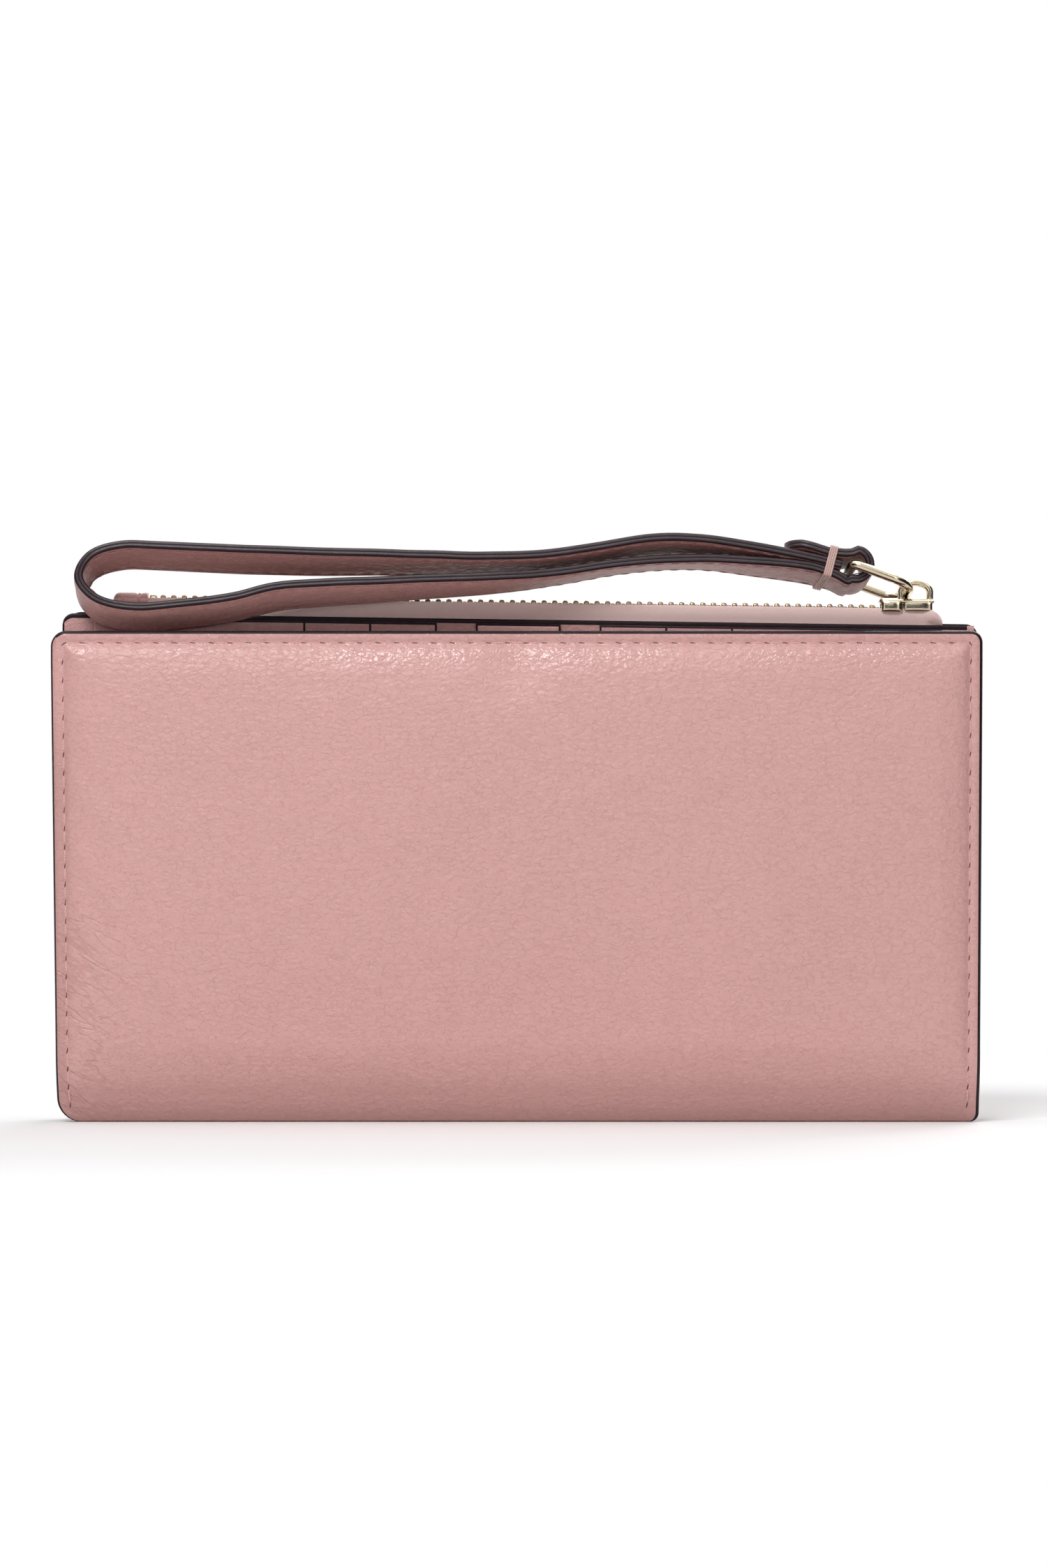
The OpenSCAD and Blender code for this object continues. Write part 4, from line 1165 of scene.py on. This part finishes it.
# %% [markdown]
# The section has domed faces with a furrow under each row of stitches, and rounded edges with a fine
# line where the two plies meet. Only the edge faces take the paint; on the two crowns of each edge it is
# lighter and glossier, a painted highlight. The inner ply is a darker hide, and its darker colour is also
# painted shade for the inside of the loop. The tail narrows to a round end.

# %% Strap
FACE = [(-4.95, 0.90), (-4.6, 0.97), (-4.2, 0.90), (-3.7, 1.0), (-2.6, 1.08), (-1.3, 1.05), (0, 1.02),
        (1.3, 1.05), (2.6, 1.08), (3.7, 1.0), (4.2, 0.90), (4.6, 0.97), (4.95, 0.90)]
EDGE = [(5.25, 0.80), (5.45, 0.60), (5.5, 0.35), (5.44, 0.1), (5.32, 0.0), (5.44, -0.1), (5.5, -0.35),
        (5.45, -0.60), (5.25, -0.80)]
# 2 marks the two crowns of each edge, painted lighter and glossier as a highlight
EDGE_MARKS = [1, 1, 2, 2, 1, 1, 2, 2, 1, 1]
TAIL_ROUND = 5.4
section = [(a, -b) for a, b in FACE] + [(a, -b) for a, b in EDGE]
section += [(a, b) for a, b in FACE[::-1]] + [(-a, b) for a, b in EDGE]
# 3 marks the inner face: a darker hide that is also painted shade for the inside of the loop
paint_of = [0] * (len(FACE) - 1) + EDGE_MARKS + [3] * (len(FACE) - 1) + EDGE_MARKS

inward = unit(np.cross(unit(np.gradient(strap_path, axis=0)), strap_side))
tail_left = run[-1] - run
narrow = np.sqrt(1 - np.clip(1 - tail_left / TAIL_ROUND, 0, 0.997) ** 2)
ripple = np.array([noise.noise(Vector((r * 0.11, 3.7, 0.0))) for r in run])
calm = clamp(np.minimum(run - 12, run[-1] - 38 - run) / 15)
spine_line = strap_path + inward * (0.14 * ripple * calm)[:, None]
rings = np.stack([spine_line + strap_side * (a * narrow)[:, None] + inward * b for a, b in section], 1)
faces = tube_faces(len(rings), len(section))
marks = paint_of * (len(rings) - 1) + [1, 1]
hides = [strap_leather, dark_edge, edge_highlight, shaded_strap_back]
strap = add_mesh("wrist_strap", rings.reshape(-1, 3), faces, hides, marks)
settle(strap, "strap", "strap_leather", "strap_outer", "strap_lining")
print("strap faces", len(faces))

# %% Strap stitches
STRAP_PITCH = 3.5
FIRST_STITCH, UNSEWN = 10, 30


def on_strap(distance, a, b):
    """A point at a distance along the strap, a beside its middle and b off it, and the way inward there."""
    i = int(np.clip(np.searchsorted(run, distance) - 1, 0, len(run) - 2))
    t = (distance - run[i]) / (run[i + 1] - run[i])
    middle, side, n = [row[i] * (1 - t) + row[i + 1] * t for row in (spine_line, strap_side, inward)]
    return middle + side * a + n * b, unit(n)


starts, ends, outs = [], [], []
for face in (-1, 1):
    for beside in (-4.2, 4.2):
        for k in range(int((run[-1] - UNSEWN) / STRAP_PITCH)):
            start, n = on_strap(FIRST_STITCH + k * STRAP_PITCH, beside, face * 0.9)
            end, _ = on_strap(FIRST_STITCH + (k + 1) * STRAP_PITCH, beside, face * 0.9)
            starts.append(start)
            ends.append(end)
            outs.append(n * face)
strap_rows = sew("wrist_strap_stitches", starts, ends, outs, strap_thread, radius=0.16, sink=0.06, lift=0.16)
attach(strap_rows, "strap")
print("strap stitches", len(starts))

# %% [markdown]
# A tight binding of waxed thread holds the layers of strap together beside the ring. The thread runs
# round the stack as one long screw, close enough for each turn to touch the next.

# %% Binding
TURNS, THREAD_W, FROM_BAR = 4, 0.42, 4.9
BIND_Y, BIND_Z, BIND_CORNER = 5.62, 3.15, 0.5
BIND_LEAN = math.radians(13)
turn = []
for sy, sz, first in ((1, 1, 0.0), (-1, 1, 0.5), (-1, -1, 1.0), (1, -1, 1.5)):
    for a in np.linspace(first * math.pi, (first + 0.5) * math.pi, 5):
        turn.append((sy * (BIND_Y - BIND_CORNER) + BIND_CORNER * math.cos(a),
                     sz * (BIND_Z - BIND_CORNER) + BIND_CORNER * math.sin(a)))
    across, up = turn[-1]
    if sy * sz > 0:
        turn += [(across * (1 - 2 * t), up) for t in (0.2, 0.4, 0.6, 0.8)]
    else:
        turn += [(across, up * (1 - 2 * t)) for t in (0.25, 0.5, 0.75)]
screw = []
for i in range(TURNS * len(turn) + 1):
    y, h = turn[i % len(turn)]
    p, z = in_stack(FROM_BAR + THREAD_W * (i / len(turn) - TURNS / 2), h - 0.4)[:2]
    fall = y * math.sin(BIND_LEAN)
    p += fall * math.sin(STACK) + y * math.sin(YAW)
    screw.append((eye[0] - p, eye[1] + y * math.cos(BIND_LEAN), eye[2] + z - fall))
off_stack = (-math.cos(STACK), 0.0, math.sin(STACK))
binding = sweep("strap_whipping", screw, off_stack, oval(THREAD_W * 1.04, THREAD_W, 8), binding_thread)
settle(binding, "strap", "binding_thread", "strap_binding")
print("binding", TURNS, "turns")

# %% [markdown]
# The press stud stays as it was packed. It only gets its plating and softened edges.

# %% Press stud
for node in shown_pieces():
    if node.name.startswith("snap_") and node.type == "MESH" and node.name in frame["nodes"]:
        node.data.materials.clear()
        node.data.materials.append(gold)
        softened = node.modifiers.new("softened", "BEVEL")
        softened.width = 0.2 * MM
        softened.segments = 2
        print("plated", node.name)

# %% [markdown]
# The stage is a pale floor that fades to white away from the wallet, in a room that looks white but
# lights it gently. Soft lamps stand in front, above and behind. Three dark cards, one behind the
# camera and one at each side, give the metal something to reflect.

# %% Stage
WHITE = (1.0, 1.0, 1.0, 1.0)
floor_bench = Bench("pale_floor", Specular_IOR_Level=0.1)
pale_floor = floor_bench.finish((0.93, 0.93, 0.93, 1.0), 0.95)
spot = floor_bench.node("ShaderNodeNewGeometry", {}, {}, output="Position")
away = floor_bench.node("ShaderNodeVectorMath", {"operation": "LENGTH"}, {0: spot}, output="Value")
share = floor_bench.seen_directly() * floor_bench.ramp(away, 0.13, 0.34)
glow = floor_bench.node("ShaderNodeEmission", {}, {"Color": WHITE, "Strength": 1.0})
lit = Wire(floor_bench, floor_bench.shader.outputs[0])
faded = floor_bench.node("ShaderNodeMixShader", {}, {0: share, 1: lit, 2: glow})
floor_bench.feed(floor_bench.tree.nodes["Material Output"].inputs["Surface"], faded)
dark_card = Bench("dark_card", Specular_IOR_Level=0.0).finish((0.03, 0.03, 0.03, 1.0), 0.9)


def card(name, corners, material):
    """A stage card with four corners in metres."""
    piece = add_mesh(name, np.array(corners) / MM, [(0, 1, 2, 3)], [material])
    piece.visible_camera = material is pale_floor


card("floor", [(-3, -3, 0), (3, -3, 0), (3, 3, 0), (-3, 3, 0)], pale_floor)
card("card_behind", [(-0.8, -1.7, 0.0), (0.8, -1.7, 0.0), (0.8, -1.7, 0.8), (-0.8, -1.7, 0.8)], dark_card)
for name, x in (("card_left", -0.42), ("card_right", 0.42)):
    card(name, [(x, -0.55, 0.0), (x, 0.3, 0.0), (x, 0.3, 0.4), (x, -0.55, 0.4)], dark_card)


def softbox(name, place, target_z, width, height, power):
    """A lamp that looks at a point above the middle of the floor."""
    data = bpy.data.lights.new(name, "AREA")
    data.shape = "RECTANGLE"
    data.size, data.size_y, data.energy = width, height, power
    lamp = bpy.data.objects.new(name, data)
    lamp.location = place
    way = Vector((0, 0, target_z)) - Vector(place)
    lamp.rotation_euler = way.to_track_quat("-Z", "Y").to_euler()
    bpy.context.scene.collection.objects.link(lamp)


softbox("key", (-0.4, -1.0, 1.2), 0.05, 0.7, 0.5, 14.2)
softbox("front", (-0.15, -1.45, 0.42), 0.06, 0.9, 0.4, 1.3)
softbox("fill", (0.8, -1.1, 0.55), 0.06, 0.7, 0.7, 2.2)
softbox("back", (0.5, 1.1, 0.95), 0.05, 0.9, 0.7, 9.0)
softbox("top", (0.0, 0.15, 1.2), 0.05, 1.4, 0.9, 5.0)

world = bpy.data.worlds.new("white_room")
bpy.context.scene.world = world
world.use_nodes = True
world.node_tree.nodes.clear()
sky = Board(world.node_tree)
room = sky.node("ShaderNodeBackground", {}, {"Color": (0.27, 0.27, 0.275, 1.0)})
white = sky.node("ShaderNodeBackground", {}, {"Color": WHITE})
chosen = sky.node("ShaderNodeMixShader", {}, {0: sky.seen_directly(), 1: room, 2: white})
sky.feed(sky.tree.nodes.new("ShaderNodeOutputWorld").inputs["Surface"], chosen)
bpy.context.scene.view_settings.view_transform = "Standard"
print("lights", sorted(lamp.name for lamp in bpy.data.lights))
